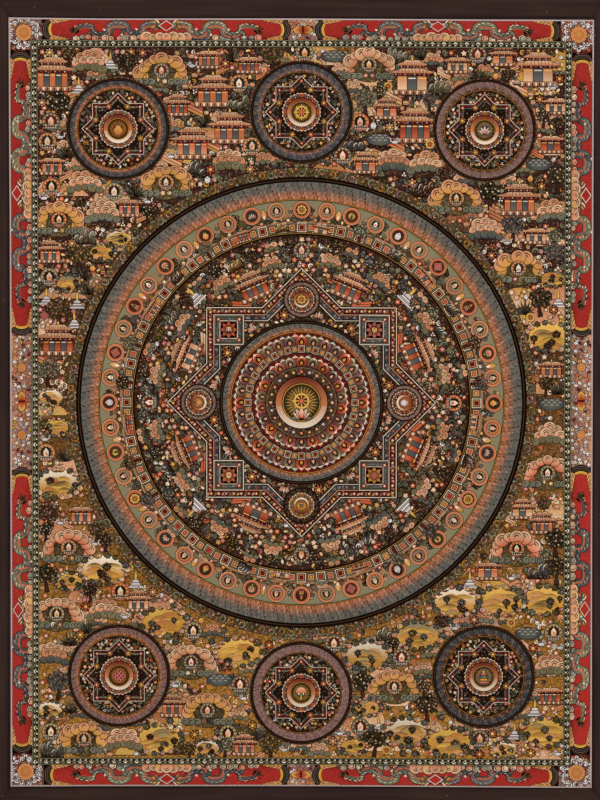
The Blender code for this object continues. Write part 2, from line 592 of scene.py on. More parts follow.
def cloud_arch(pen: Pen, width: float) -> None:
    """An arch of scalloped cloud over a shrine and flowers.

    Args:
        pen: the pen, at its middle.
        width: its width.
    """
    low, high = pen.pick(((CORAL, PEACH), (TERRACOTTA, PEACH), (OCHRE, SALMON)))
    shade = rise(OLIVE, BARK, -width * 0.2, width * 0.2, 0.8)
    pen.draw(oval(width * 0.4, width * 0.3, y=-width * 0.02), shade)
    for step in (0, 10, 1, 9, 2, 8, 3, 7, 4, 6, 5):
        angle, radius = (step / 10 - 0.08 + 0.016 * step) * math.pi, width * pen.between(0.075, 0.14)
        reach = width * pen.between(0.38, 0.44)
        x, y = reach * math.cos(angle), reach * 0.76 * math.sin(angle) - width * 0.05
        lobe = pen.at(x, y, (angle / TURN - 0.25) * 0.6)
        cloud_lobe(lobe, radius, 1.1, rise(low, high, -radius, radius * 0.7))
    shrine(pen.at(0, width * 0.02), width * 0.15)
    for step in range(6):
        x = (step - 2.5) * width * 0.13
        filler(pen.at(x, -width * (0.2 - abs(step - 2.5) * 0.02)), width * 0.055, 0.2)
    for side in (-1, 1):
        for step in range(3):
            curl = pen.at(side * width * (0.2 + step * 0.12), -width * 0.2)
            curl.draw(oval(width * 0.08, width * 0.065), rise(STEEL, SAGE, -width * 0.06, width * 0.05))
            curl.fill(crescent(width * 0.035, width * 0.02, 0.0, 0.7), INK)


def rock(pen: Pen, width: float) -> None:
    """A stand of upright rocks with pale edges.

    Args:
        pen: the pen, at its foot's middle.
        width: its width.
    """
    paint = pen.pick((TEAL, STEEL, SAGE, MUSTARD, EARTH))
    for step in range(4):
        x, half, high = (step - 1.5) * width * 0.24, width * 0.17, width * pen.between(0.4, 0.85)
        shape = ((-1, 0), (1, 0), (0.9, 0.6), (0.3, 1), (-0.5, 0.9), (-1, 0.5))
        hump = points(*((x + half * across, high * up) for across, up in shape))
        pen.draw(hump, rise(GROUND, paint, 0, high, 0.9))
        pen.fill(ribbon(hump[3:6] * (0.98, 0.9), (0.1, 1.1, 0.1)), pen.pick(PALE))


def hill(pen: Pen, width: float, height: float, low: Paint, high: Paint, fine: float = 0.0) -> None:
    """A rounded hill with a shaded crest."""
    shares = np.linspace(0, 1, 11)
    crest = np.stack([(shares - 0.5) * width, height * np.sin(np.pi * shares) ** 0.7], 1)
    pen.draw(crest, rise(low, high, 0, height, fine))


def tree(pen: Pen, height: float) -> None:
    """A leafy tree in fruit or flower.

    Args:
        pen: the pen, at its middle.
        height: its height.
    """
    trunk = points((0, -height * 0.5), (height * pen.between(-0.06, 0.06), -height * 0.1), (0, height * 0.2))
    pen.draw(ribbon(trunk, (height * 0.16, height * 0.08, height * 0.04)), BARK)
    leaves = ((PINE, MOSS), (GROUND, OLIVE), (INK, MOSS), (GROUND, SAGE), (PINE, EARTH), (PINE, STEEL))
    leaf, edge = pen.pick(leaves)
    fruit = pen.pick((CORAL, CREAM, PINK, OCHRE, PEACH))
    for step in range(6):
        angle, reach = TURN * (step / 5 + 0.05), height * 0.26 * (step < 5)
        radius = height * pen.between(0.17, 0.22)
        x, y = reach * math.cos(angle), height * 0.2 + reach * 0.8 * math.sin(angle)
        crown = pen.at(x, y, pen.between(0, 1))
        crown.draw(lobed(radius, 6, 0.22, 2), ring(leaf, edge, 0, radius, 1.0))
        for part in crown.round(2, radius * 0.5):
            part.fill(oval(height * 0.034, sides=4), fruit)


def palm(pen: Pen, height: float) -> None:
    """A clump of long pointed leaves.

    Args:
        pen: the pen, at its middle.
        height: the longest leaf's length.
    """
    for step in range(9):
        turn = (step - 4) * 0.055
        leaf = petal(height * (1 - abs(turn) * 1.5), height * 0.14)
        green = rise(GROUND, pen.pick((OLIVE, SAGE, MOSS, TEAL)), 0, height, 0.6)
        pen.at(0, -height * 0.4, turn).draw(leaf, green)


def pavilion(pen: Pen, width: float, tiers: int = 2) -> None:
    """A temple hall on a terrace, with tiled roofs, slate doors and a slanting wall at its side.

    Args:
        pen: the pen, at the middle of its walls' foot.
        width: the hall's width.
        tiers: how many roofs it has.
    """
    wall, roof = width * pen.between(0.28, 0.4), width * 0.15
    side, bays = pen.pick((-1, 1)), pen.pick((3, 5, 5))
    low, high = pen.pick(((SALMON, VERMILION), (TERRACOTTA, CORAL), (PEACH, TERRACOTTA), (CORAL, MAROON)))
    for drop, paint in ((0.0, CORAL), (-0.1, SALMON), (-0.2, OCHRE)):
        slant = points((0.3, drop - 0.24), (0.86, drop + 0.04), (0.86, drop + 0.12), (0.3, drop - 0.16))
        pen.draw(slant * (width * side, width), rise(paint, low, drop * width - width * 0.2, drop * width))
    pen.draw(box(-width * 0.52, -width * 0.15, width * 0.52, 0), rise(EARTH, SALMON, -width * 0.15, 0))
    for step in range(10):
        stone = box(width * (step * 0.1 - 0.48), -width * 0.12, width * (step * 0.1 - 0.44), -width * 0.03)
        pen.fill(stone, (CREAM, MAROON)[step % 2])
    for step in range(bays):
        left, wide = width * (step / bays - 0.5) * 0.84, width * 0.84 / bays
        tones = rise(STEEL, SLATE, 0, wall) if step % 2 else rise(low, high, 0, wall)
        pen.draw(box(left, 0, left + wide * 0.94, wall), tones)
        lintel = box(left + wide * 0.1, wall * 0.78, left + wide * 0.84, wall * 0.86)
        pen.fill(lintel, (GOLD, CREAM)[step % 2])
    y = wall
    for tier in range(tiers):
        half = width * (0.58 - 0.2 * tier)
        pen.draw(box(-half * 0.9, y, half * 0.9, y + width * 0.07), even(MAROON, 0.8))
        for step in range(8):
            stud = oval(width * 0.018, sides=4, x=(step - 3.5) * half * 0.23, y=y + width * 0.035)
            pen.fill(stud, (CREAM, SAGE)[step % 2])
        y += width * 0.07
        pen.draw(EAVE * (half, roof) + (0, y), rise(TERRACOTTA, PEACH, y, y + roof, 0.35))
        for step in range(9):
            x = (step - 4) * half * 0.17
            pen.fill(box(x - 0.3, y + roof * 0.1, x + 0.3, y + roof * 0.86), EARTH)
        y += roof
    pen.draw(petal(width * 0.12, width * 0.06, 0.6, y=y), GILT)


def shrine(pen: Pen, radius: float) -> None:
    """A flaming jewel on a lotus seat before two haloes.

    Args:
        pen: the pen, at its middle.
        radius: the radius of the room it fills.
    """
    back, front = pen.pick(((SAGE, MAROON), (TERRACOTTA, SLATE), (CORAL, PINE), (STEEL, RED)))
    pen.draw(oval(radius), ring(CREAM, back, 0, radius))
    pen.fill(oval(radius * 0.86), ring(back, EARTH, 0, radius * 1.1))
    for part in pen.round(12, radius * 0.7):
        part.fill(petal(radius * 0.18, radius * 0.2), GOLD)
    pen.fill(oval(radius * 0.62, y=radius * 0.08), INK)
    pen.fill(oval(radius * 0.54, y=radius * 0.08), ring(front, INK, 0, radius))
    for row in (-1, 1):
        for step in range(5):
            x = (step - 2) * radius * 0.26
            seat = pen.at(x, -radius * 0.56, (0.5 if row < 0 else 0) - row * x / radius * 0.06)
            tones = rise((PINK, TEAL)[row > 0], CREAM, 0, radius * 0.3)
            seat.draw(petal(radius * 0.26, radius * 0.26, 0.8), tones)
    body = pen.pick((PEACH, OCHRE, CREAM, SALMON))
    pen.at(0, -radius * 0.42).draw(petal(radius, radius * 0.6, 0.75, 3), rise(body, CREAM, 0, radius))
    for part in pen.at(0, -radius * 0.12).round(3, radius * 0.1):
        part.fill(oval(radius * 0.13, sides=6), pen.pick(WARM))


def stupa(pen: Pen, height: float) -> None:
    """A white reliquary mound with a ringed spire.

    Args:
        pen: the pen, at its middle.
        height: its height.
    """
    for step, half in enumerate((0.42, 0.34, 0.26)):
        low = height * (step * 0.09 - 0.5)
        pen.draw(box(-height * half, low, height * half, low + height * 0.08), (WHITE, LILAC)[step % 2])
    pen.draw(arc(height * 0.2, 0, 0.5, 6, y=-height * 0.2), rise(LILAC, WHITE, -height * 0.2, 0))
    pen.draw(petal(height * 0.5, height * 0.13, 0.8), GILT)


def crane(pen: Pen, size: float) -> None:
    """A white bird with lifted wings.

    Args:
        pen: the pen, at its middle.
        size: its size, about four fifths of its width.
    """
    neck = points((0.3, 0), (0.62, 0.18), (0.56, 0.5), (0.8, 0.62)) * size
    pen.draw(ribbon(neck, (size * 0.2, size * 0.1, size * 0.12)), WHITE)
    for turn in (0.05, 0.12, 0.19):
        pen.at(-size * 0.05, 0, turn).draw(petal(size * 0.85, size * 0.24), rise(WHITE, LILAC, 0, size))
    pen.draw(oval(size * 0.44, size * 0.22), rise(LILAC, WHITE, -size * 0.2, size * 0.1))


def deer(pen: Pen, size: float) -> None:
    """A deer lying down with its head up.

    Args:
        pen: the pen, at its middle.
        size: its size, about four fifths of its width.
    """
    pen.draw(oval(size * 0.52, size * 0.24), rise(PEACH, TERRACOTTA, -size * 0.2, size * 0.2))
    neck = points((0.34, 0.05), (0.52, 0.4), (0.74, 0.44)) * size
    pen.draw(ribbon(neck, (size * 0.26, size * 0.16, size * 0.12)), TERRACOTTA)
    for lean in (0.02, -0.08):
        pen.at(size * 0.5, size * 0.44, lean).fill(petal(size * 0.4, size * 0.1), CREAM)
    pen.draw(box(-size * 0.42, -size * 0.34, size * 0.3, -size * 0.22), SALMON)


def pond(pen: Pen, width: float) -> None:
    """A pool with curled ripples.

    Args:
        pen: the pen, at its middle.
        width: its width.
    """
    pen.draw(oval(width * 0.5, width * 0.22), ring(TEAL, SLATE, 0, width * 0.5))
    for row, count in ((-0.08, 3), (0.02, 4), (0.11, 3)):
        for step in range(count):
            x = (step + 0.5 - count / 2) * width * 0.22
            pen.fill(crescent(width * 0.07, width * 0.035, steps=3, x=x, y=row * width), LILAC)


def valley(pen: Pen, width: float) -> None:
    """A golden plain of low dunes under a pale sky, with dark trees, and bushes and cloud round its edge.

    Args:
        pen: the pen, at its middle.
        width: its width.
    """
    sky = pen.pick((CREAM, GOLD, GOLD, SAGE))
    pen.fill(lobed(width * 0.54, 9, 0.14, 2, 0.62), rise(OCHRE, sky, -width * 0.1, width * 0.24, 0.1))
    sands = (
        (GOLD, MUSTARD), (GOLD, OCHRE), (OCHRE, TERRACOTTA), (GOLD, EARTH), (SALMON, OCHRE), (OCHRE, SAGE)
    )
    for row in range(5):
        for _ in range(2):
            x, y = pen.between(-0.2, 0.2) * width, (0.06 - row * 0.085) * width
            wide = pen.between(0.3, 0.6) * width
            low, high = pen.pick(sands)
            hill(pen.lined(0.3).at(x, y), wide, wide * pen.between(0.16, 0.32), low, high, 0.15)
        if row:
            foot = pen.at(pen.between(-0.4, 0.4) * width, (0.1 - row * 0.085) * width)
            tree(foot, width * pen.between(0.13, 0.24))
    for step in range(18):
        angle = step / 18 * TURN
        x, y = width * 0.52 * math.cos(angle), width * 0.31 * math.sin(angle)
        spot = pen.at(x, y, pen.between(-0.05, 0.05))
        if pen.chance(0.5):
            bush(spot, width * pen.between(0.05, 0.08), pen.pick(COOL))
        else:
            curl_cloud(spot, width * pen.between(0.04, 0.07), pen.pick(WARM), pen.pick((-0.8, 0.8)))


class Emblem(Enum):
    """Common emblems of good fortune."""

    WHEEL = 0
    LOTUS = 1
    VASE = 2
    PARASOL = 3
    BANNER = 4
    KNOT = 5
    SHELL = 6
    FISH = 7

    def draw(self, pen: Pen, size: float) -> None:
        """Draws the emblem, size from its middle to its edge."""
        getattr(self, f"_{self.name.lower()}")(pen.at(0, 0, size=size))

    def _wheel(self, pen: Pen) -> None:
        """A wheel with eight spokes."""
        pen.draw(oval(1, sides=18), GILT)
        pen.fill(oval(0.74, sides=16), MAROON)
        for part in pen.round(8, 0):
            part.fill(box(-0.07, 0.2, 0.07, 1.16), GILT)
        pen.draw(oval(0.28, sides=9), ring(CREAM, CORAL, 0, 0.28))

    def _lotus(self, pen: Pen) -> None:
        """A lotus from the side."""
        lotus(pen.at(0, -0.55), 2)

    def _vase(self, pen: Pen) -> None:
        """A full vase with a jewel for a stopper."""
        right = ((0.3, -0.9), (0.72, -0.2), (0.3, 0.3), (0.42, 0.5))
        left = ((-0.42, 0.5), (-0.3, 0.3), (-0.72, -0.2))
        pen.draw(points((-0.3, -0.9), *right, *left), rise(CORAL, GOLD, -1, 0.5))
        pen.draw(petal(0.55, 0.4, 0.6, y=0.5), TEAL)

    def _parasol(self, pen: Pen) -> None:
        """A domed parasol with a fringe."""
        pen.fill(box(-0.07, -1, 0.07, 0.2), GOLD)
        pen.draw(arc(0.85, 0, 0.5, 7), rise(CORAL, PEACH, 0, 1))
        for step in range(5):
            pen.fill(box(step * 0.34 - 0.78, -0.3, step * 0.34 - 0.58, 0), (TEAL, CREAM)[step % 2])

    def _banner(self, pen: Pen) -> None:
        """A tiered victory banner."""
        for step, paint in enumerate((CORAL, TEAL, OCHRE, PINK)):
            half, y = 0.34 + step * 0.08, 0.55 - step * 0.42
            pen.draw(box(-half, y - 0.3, half, y), paint)
        pen.draw(petal(0.45, 0.3, 0.6, y=0.55), GILT)

    def _knot(self, pen: Pen) -> None:
        """An endless knot."""
        turned = pen.at(0, 0, 0.125)
        turned.draw(square(0.8), PINK)
        for step in range(9):
            x, y = (step % 3 - 1) / 2, (step // 3 - 1) / 2
            turned.fill(box(x - 0.13, y - 0.13, x + 0.13, y + 0.13), MAROON)

    def _shell(self, pen: Pen) -> None:
        """A conch shell."""
        pen.draw(petal(1.7, 1.3, 0.5, 4, y=-0.9), rise(LILAC, WHITE, -1, 0.4))
        for step in range(3):
            pen.fill(crescent(0.3 + step * 0.14, 0.1, 0.1, 0.4, 3, y=-0.1), MAUVE)

    def _fish(self, pen: Pen) -> None:
        """A pair of golden fish."""
        for flip in (False, True):
            pen.at(0, 0, flip=flip).draw(crescent(0.62, 0.42, -0.18, 0.3, 6, x=-0.12), GILT)


EMBLEMS = tuple(Emblem)


def fill_with(
    pen: Pen, inside: Callable[[float, float], bool], reach: float, pitch: float, draw: Callable[[Pen], None]
) -> None:
    """Scatters ornaments evenly over an area, on a jittered grid.

    Args:
        pen: a pen at the middle of the area.
        inside: whether a place in the pen's frame may hold an ornament.
        reach: how far the area reaches from the middle.
        pitch: how far apart the ornaments are.
        draw: draws one ornament with the pen that it is given.
    """
    for row in range(int(2 * reach / (pitch * 0.87)) + 1):
        for column in range(int(2 * reach / pitch) + 1):
            x = -reach + (column + 0.5 * (row % 2)) * pitch + pen.between(-0.2, 0.2) * pitch
            y = -reach + row * pitch * 0.87 + pen.between(-0.2, 0.2) * pitch
            turn = pen.between(0, 1)
            if inside(x, y):
                draw(pen.at(x, y, turn))


# The parts of the painting


@dataclass
class PaintedBorder:
    """The painted border: red cartouches with dragons, brocade tiles between them, and a chain of hooks."""

    seed: int = 5
    half_width: float = 377.6
    half_height: float = 498.2
    band: float = 26.2
    chain: float = 9.2
    hook_pitch: float = 7.4
    tile: float = 41.0

    SIDES = (
        # turn of the side, its cartouches from start to end
        (0.0, ((-337, -13), (17, 337))),
        (-0.25, ((-457, -86), (79, 457))),
        (0.5, ((-337, -14), (14, 337))),
        (0.25, ((-457, -84), (86, 457))),
    )
    ARCS = (
        # inset, paint
        (0.0, EARTH),
        (0.9, INK),
        (2.4, MAUVE),
        (3.1, INK),
        (4.7, STEEL),
        (5.4, INK),
        (7.0, OLIVE),
        (7.6, INK),
        (9.2, GOLD),
        (10.4, OCHRE),
        (12.6, MAROON),
    )

    @property
    def field(self) -> Point:
        """Half the width and height of the opening inside the border."""
        edge = self.band + self.chain
        return self.half_width - edge, self.half_height - edge

    def paint(self) -> Picture:
        """Paints the whole border.

        Returns:
            The border's picture.
        """
        picture = Picture(self.seed, Random(self.seed), 0.14)
        pen = Pen(picture)
        pen.fill(box(-self.half_width, -self.half_height, self.half_width, self.half_height), INK)
        for low in (False, True):
            for left in (False, True):
                x, y = self.half_width * (-1 if left else 1), self.half_height * (-1 if low else 1)
                self._corner_tile(pen.at(x, y, flip=not left, upside=low))
        for turn, spans in self.SIDES:
            middle = pen.at(0, 0, turn).at(0, self._reach(turn) - self.band / 2)
            self._brocade(middle, spans[0][1], spans[1][0])
            for start, end in spans:
                self._cartouche(middle.at((start + end) / 2, 0), (end - start) / 2)
        for turn, _ in self.SIDES:
            hooks = pen.at(0, 0, turn).at(0, self._reach(turn) - self.band - self.chain / 2)
            self._hooks(hooks, self._reach(turn + 0.25) - self.band)
        return picture

    def _reach(self, turn: float) -> float:
        """How far the side that is turned so lies from the canvas's middle."""
        return self.half_height if turn % 0.5 == 0 else self.half_width

    def _cartouche(self, pen: Pen, half: float) -> None:
        """One red panel, half long from its middle, with two dragons that face a jewel.

        Args:
            pen: the pen, at its middle.
            half: half its length.
        """
        high = self.band / 2
        for inset, paint in self.ARCS:
            pen.fill(rounded(half - inset, high, high - 0.4), paint)
        pen.fill(rounded(half - 13.2, high - 0.3, high - 0.8), rise(MAROON, RED, -16, -4, 0.12))
        for corner in range(4):
            spot = pen.at(0, 0, flip=bool(corner % 2), upside=corner > 1)
            for step, radius in enumerate((5.2, 4.2, 3.4, 2.6, 1.8)):
                curl = spot.at(half - 16.5 - step * 4.4, high - 0.2)
                curl.draw(oval(radius * 1.1, radius), rise((SALMON, PEACH)[step % 2], OCHRE, -5, 0), MAROON)
                curl.fill(crescent(radius * 0.55, radius * 0.18, 0.5, 1.0), MAROON)
        reach = half - 58
        for flip in (False, True):
            side = pen.at(0, 0, flip=flip)
            for step in range(int(half / 12)):
                paints = WARM[:4] if pen.chance(0.5) else (TEAL, STEEL, SAGE, STEEL)
                foot = side.at(6 + step * 9.4 + pen.between(-2, 2), -high + pen.between(1.0, 4.0))
                curl_cloud(foot, pen.between(3.4, 5.2), pen.pick(paints))
            self._dragon(side.at(-14 - reach / 2, 0), reach, (STEEL, SAGE)[flip])
        for step in (-3, 3, -2, 2, -1, 1, 0):
            radius = pen.between(5.4, 7.6)
            lobe = pen.at(step * 8.6, -high + 3.4 - abs(step) * 0.5 + (step % 2) * 1.6)
            tones = rise((CORAL, OCHRE, TERRACOTTA)[step % 3], PEACH, -radius, radius)
            cloud_lobe(lobe, radius, 1.15, tones, (0.62, 0.2), (0.3, 0.2))
        for reach, paint in ((7.6, INK), (7.0, CREAM), (6.0, RED)):
            wide = reach * 1.5
            pen.fill(points((-wide, 5.4), (0, 5.4 - reach), (wide, 5.4), (0, 5.4 + reach)), paint)

    def _dragon(self, pen: Pen, length: float, paint: Paint) -> None:
        """A serpent in even coils, from its tail's tuft at the left to its head at the right.

        Args:
            pen: the pen, at its middle.
            length: how far its coils reach.
            paint: its back's colour.
        """
        dark = {STEEL: SLATE, SAGE: STEEL}[paint]
        for step in range(9):
            tuft = pen.at(-length / 2 + 3 + step % 3, pen.between(-1, 1), 0.25 + (step - 4) * 0.035)
            tuft.fill(petal(15 - abs(step - 4) * 1.5, 3.0, 0.6), (PINE, MOSS, INK)[step % 3])
        shares = np.linspace(0, 1, 61)
        coils = shares * length / 44 * TURN
        swing = 6.9 * np.sin(coils) * np.minimum(1, shares * 4 + 0.2)
        path = np.stack([(shares - 0.5) * length - 3.6 * np.sin(2 * coils), swing], 1)
        widths = (1.2, 4.0, 7.4, 10.0, 11.2, 11.2, 10.2, 8.4)
        for step in range(2, 60, 2):
            spine = pen.at(*path[step], 0.06 * (-1) ** (step // 4))
            spine.draw(petal(6.8, 2.8, 0.8), (OLIVE, CORAL, SLATE)[step // 2 % 3])
        pen.draw(ribbon(path, widths), rise(dark, paint, -9, 6, 0.45))
        for step in range(3, 60, 2):
            scale = pen.at(*path[step])
            scale.fill(crescent(2.3, 1.1, 0.1, 0.42, 3, y=0.8), (LILAC, CREAM)[paint is SAGE])
            scale.fill(crescent(1.4, 0.9, 0.1, 0.42, 3, y=-0.8), INK)
        pen.fill(ribbon(path - (0, 2.4), [width * 0.16 for width in widths]), CORAL)
        for step, lean in ((14, 0.42), (19, -0.08), (38, 0.4), (44, -0.06)):
            leg = pen.at(*path[step], lean)
            leg.draw(ribbon(points((0, 0), (3.0, 4.4), (0.6, 8.0)), (4.6, 3.0, 2.0)), rise(dark, paint, 0, 6))
            for claw in (-0.12, 0.0, 0.12):
                leg.at(0.6, 7.4, claw).fill(petal(3.2, 1.2, 0.7), CREAM)
        self._head(pen.at(*(path[-1] + (2.5, 0.5)), size=1.35), dark, paint)

    def _head(self, pen: Pen, dark: Paint, paint: Paint) -> None:
        """A dragon's head, with its mane, jaws, eye and horn.

        Args:
            pen: the pen, at its middle.
            dark: the colour of its shadows.
            paint: its own colour.
        """
        for step in range(7):
            pen.at(-1.5, 0, 0.1 + step * 0.05).draw(petal(8.0, 2.2), (CORAL, GOLD, TEAL)[step % 3])
        pen.draw(oval(3.8, 3.2), rise(dark, paint, -3, 3))
        snout = ribbon(points((1.5, 0.8), (5.2, 1.7), (8.0, 0.9)), (3.2, 2.6, 1.6))
        pen.draw(snout, rise(OCHRE, paint, 0, 3))
        pen.draw(ribbon(points((1.5, -1.2), (4.6, -1.9), (6.6, -1.5)), (2.0, 1.6, 1.0)), PEACH)
        pen.fill(oval(0.9, sides=6, x=0.8, y=1.2), WHITE)
        pen.draw(ribbon(points((-1, 2.4), (-3.4, 5.2), (-6.0, 5.8)), (1.3, 1.0, 0.4)), CREAM)

    def _curled_tile(self, pen: Pen, half_width: float, half_height: float, ground: Wash) -> None:
        """A tile with pale curled leaves all over it, and the pen at its middle.

        Args:
            pen: the pen, at its middle.
            half_width: half its width.
            half_height: half its height.
            ground: what lies under the leaves.
        """

        def curl(spot: Pen) -> None:
            """One curl."""
            paint = pen.pick((WHITE, LILAC, WHITE, PEACH, CREAM, TERRACOTTA, OCHRE, CORAL, MAROON))
            spot.draw(crescent(2.6, 1.9, 0.0, 0.66, 5), rise(LILAC, paint, -2, 2))
            spot.fill(petal(3.4, 1.6, 0.5, y=-0.6), paint)

        def inside(x: float, y: float) -> bool:
            """Whether a curl's middle may lie here."""
            return abs(x) < half_width - 1 and abs(y) < half_height - 1

        pen.draw(box(-half_width, -half_height, half_width, half_height), ground)
        fill_with(pen, inside, max(half_width, half_height), 6.6, curl)

    def _brocade(self, pen: Pen, start: float, end: float) -> None:
        """A tile of brocade, with suns and a ribbed jewel in a row.

        Args:
            pen: the pen, at the middle of its side.
            start: where it starts along the side.
            end: where it ends.
        """
        tile = pen.at((start + end) / 2, 0)
        self._curled_tile(tile, (end - start) / 2 + 4, self.band / 2, rise(MAUVE, SALMON, -16, 24, 0.7))
        count = 3 if end - start > 90 else 1
        for step in range(count):
            spot = tile.at((step - (count - 1) / 2) * 44, 0)
            if step * 2 != count - 1:
                self._sun(spot, 5.4)
                continue
            for part in spot.round(2, 1.0, 0.25):
                part.draw(petal(12.0, 9.6, 0.9, 4), rise(VERMILION, GOLD, 0, 12))
            for rib in range(-6, 7):
                high = 4.2 - abs(rib) * 0.55
                spot.fill(box(rib * 1.5 - 0.3, -high, rib * 1.5 + 0.3, high), MAROON)

    def _sun(self, pen: Pen, radius: float) -> None:
        """An ochre sun with a scalloped edge."""
        pen.draw(lobed(radius * 1.08, 14, 0.1), SALMON)
        heart = ring(OCHRE, TERRACOTTA, 0, radius * 0.6)
        bands = ((0.94, TERRACOTTA), (0.86, OCHRE), (0.68, CORAL), (0.62, heart))
        pen.discs(20, *((radius * share, wash) for share, wash in bands))
        for part in pen.round(8, radius * 0.34):
            part.fill(crescent(radius * 0.13, radius * 0.09, 0, 0.6, 4), TERRACOTTA)

    def _corner_tile(self, pen: Pen) -> None:
        """A corner tile, from the canvas's corner to the right of the pen and down from it."""
        half = self.tile / 2
        self._curled_tile(pen.at(half, -half), half, half, rise(MAROON, MAUVE, -half, half, 0.6))
        sun = pen.at(self.tile * 0.43, -self.tile * 0.43)
        for step, part in enumerate(sun.round(12, 15.6, 1 / 24)):
            turned = part.at(0, 0, flip=bool(step % 2))
            turned.draw(crescent(3.2, 1.9, -0.02, 0.66, 6), rise(LILAC, WHITE, -3, 3))
            turned.fill(oval(1.1, sides=6), WHITE)
            turned.at(2.8, 2.8, -0.1).draw(petal(4.6, 2.2), WHITE)
        self._sun(sun, 10.2)

    def _hooks(self, pen: Pen, half: float) -> None:
        """The chain of running hooks along one side.

        Args:
            pen: the pen, at the middle of the side.
            half: half the side's length.
        """
        wide = self.chain / 2
        for reach, paint in ((wide, INK), (wide - 0.5, SAGE), (wide - 1.3, INK)):
            pen.fill(box(-half, -reach, half, reach), paint)
        count = round(2 * half / self.hook_pitch)
        for step in range(count):
            spot = pen.at(-half + (step + 0.5) * 2 * half / count, 0)
            spot.fill(crescent(2.5, 1.6, -0.02, 0.5, 6, y=-0.6), (CREAM, SAGE)[step % 2])
            spot.at(-0.7, -2.5, -0.06).fill(petal(3.0, 1.5, 0.7), CREAM)
            spot.at(0.9, -2.5, -0.06).fill(petal(2.6, 1.2, 0.7), SAGE)
            spot.fill(ribbon(points((2.9, 2.8), (3.6, 0.4), (3.0, -2.4)), (0.3, 0.9, 0.4)), OLIVE)


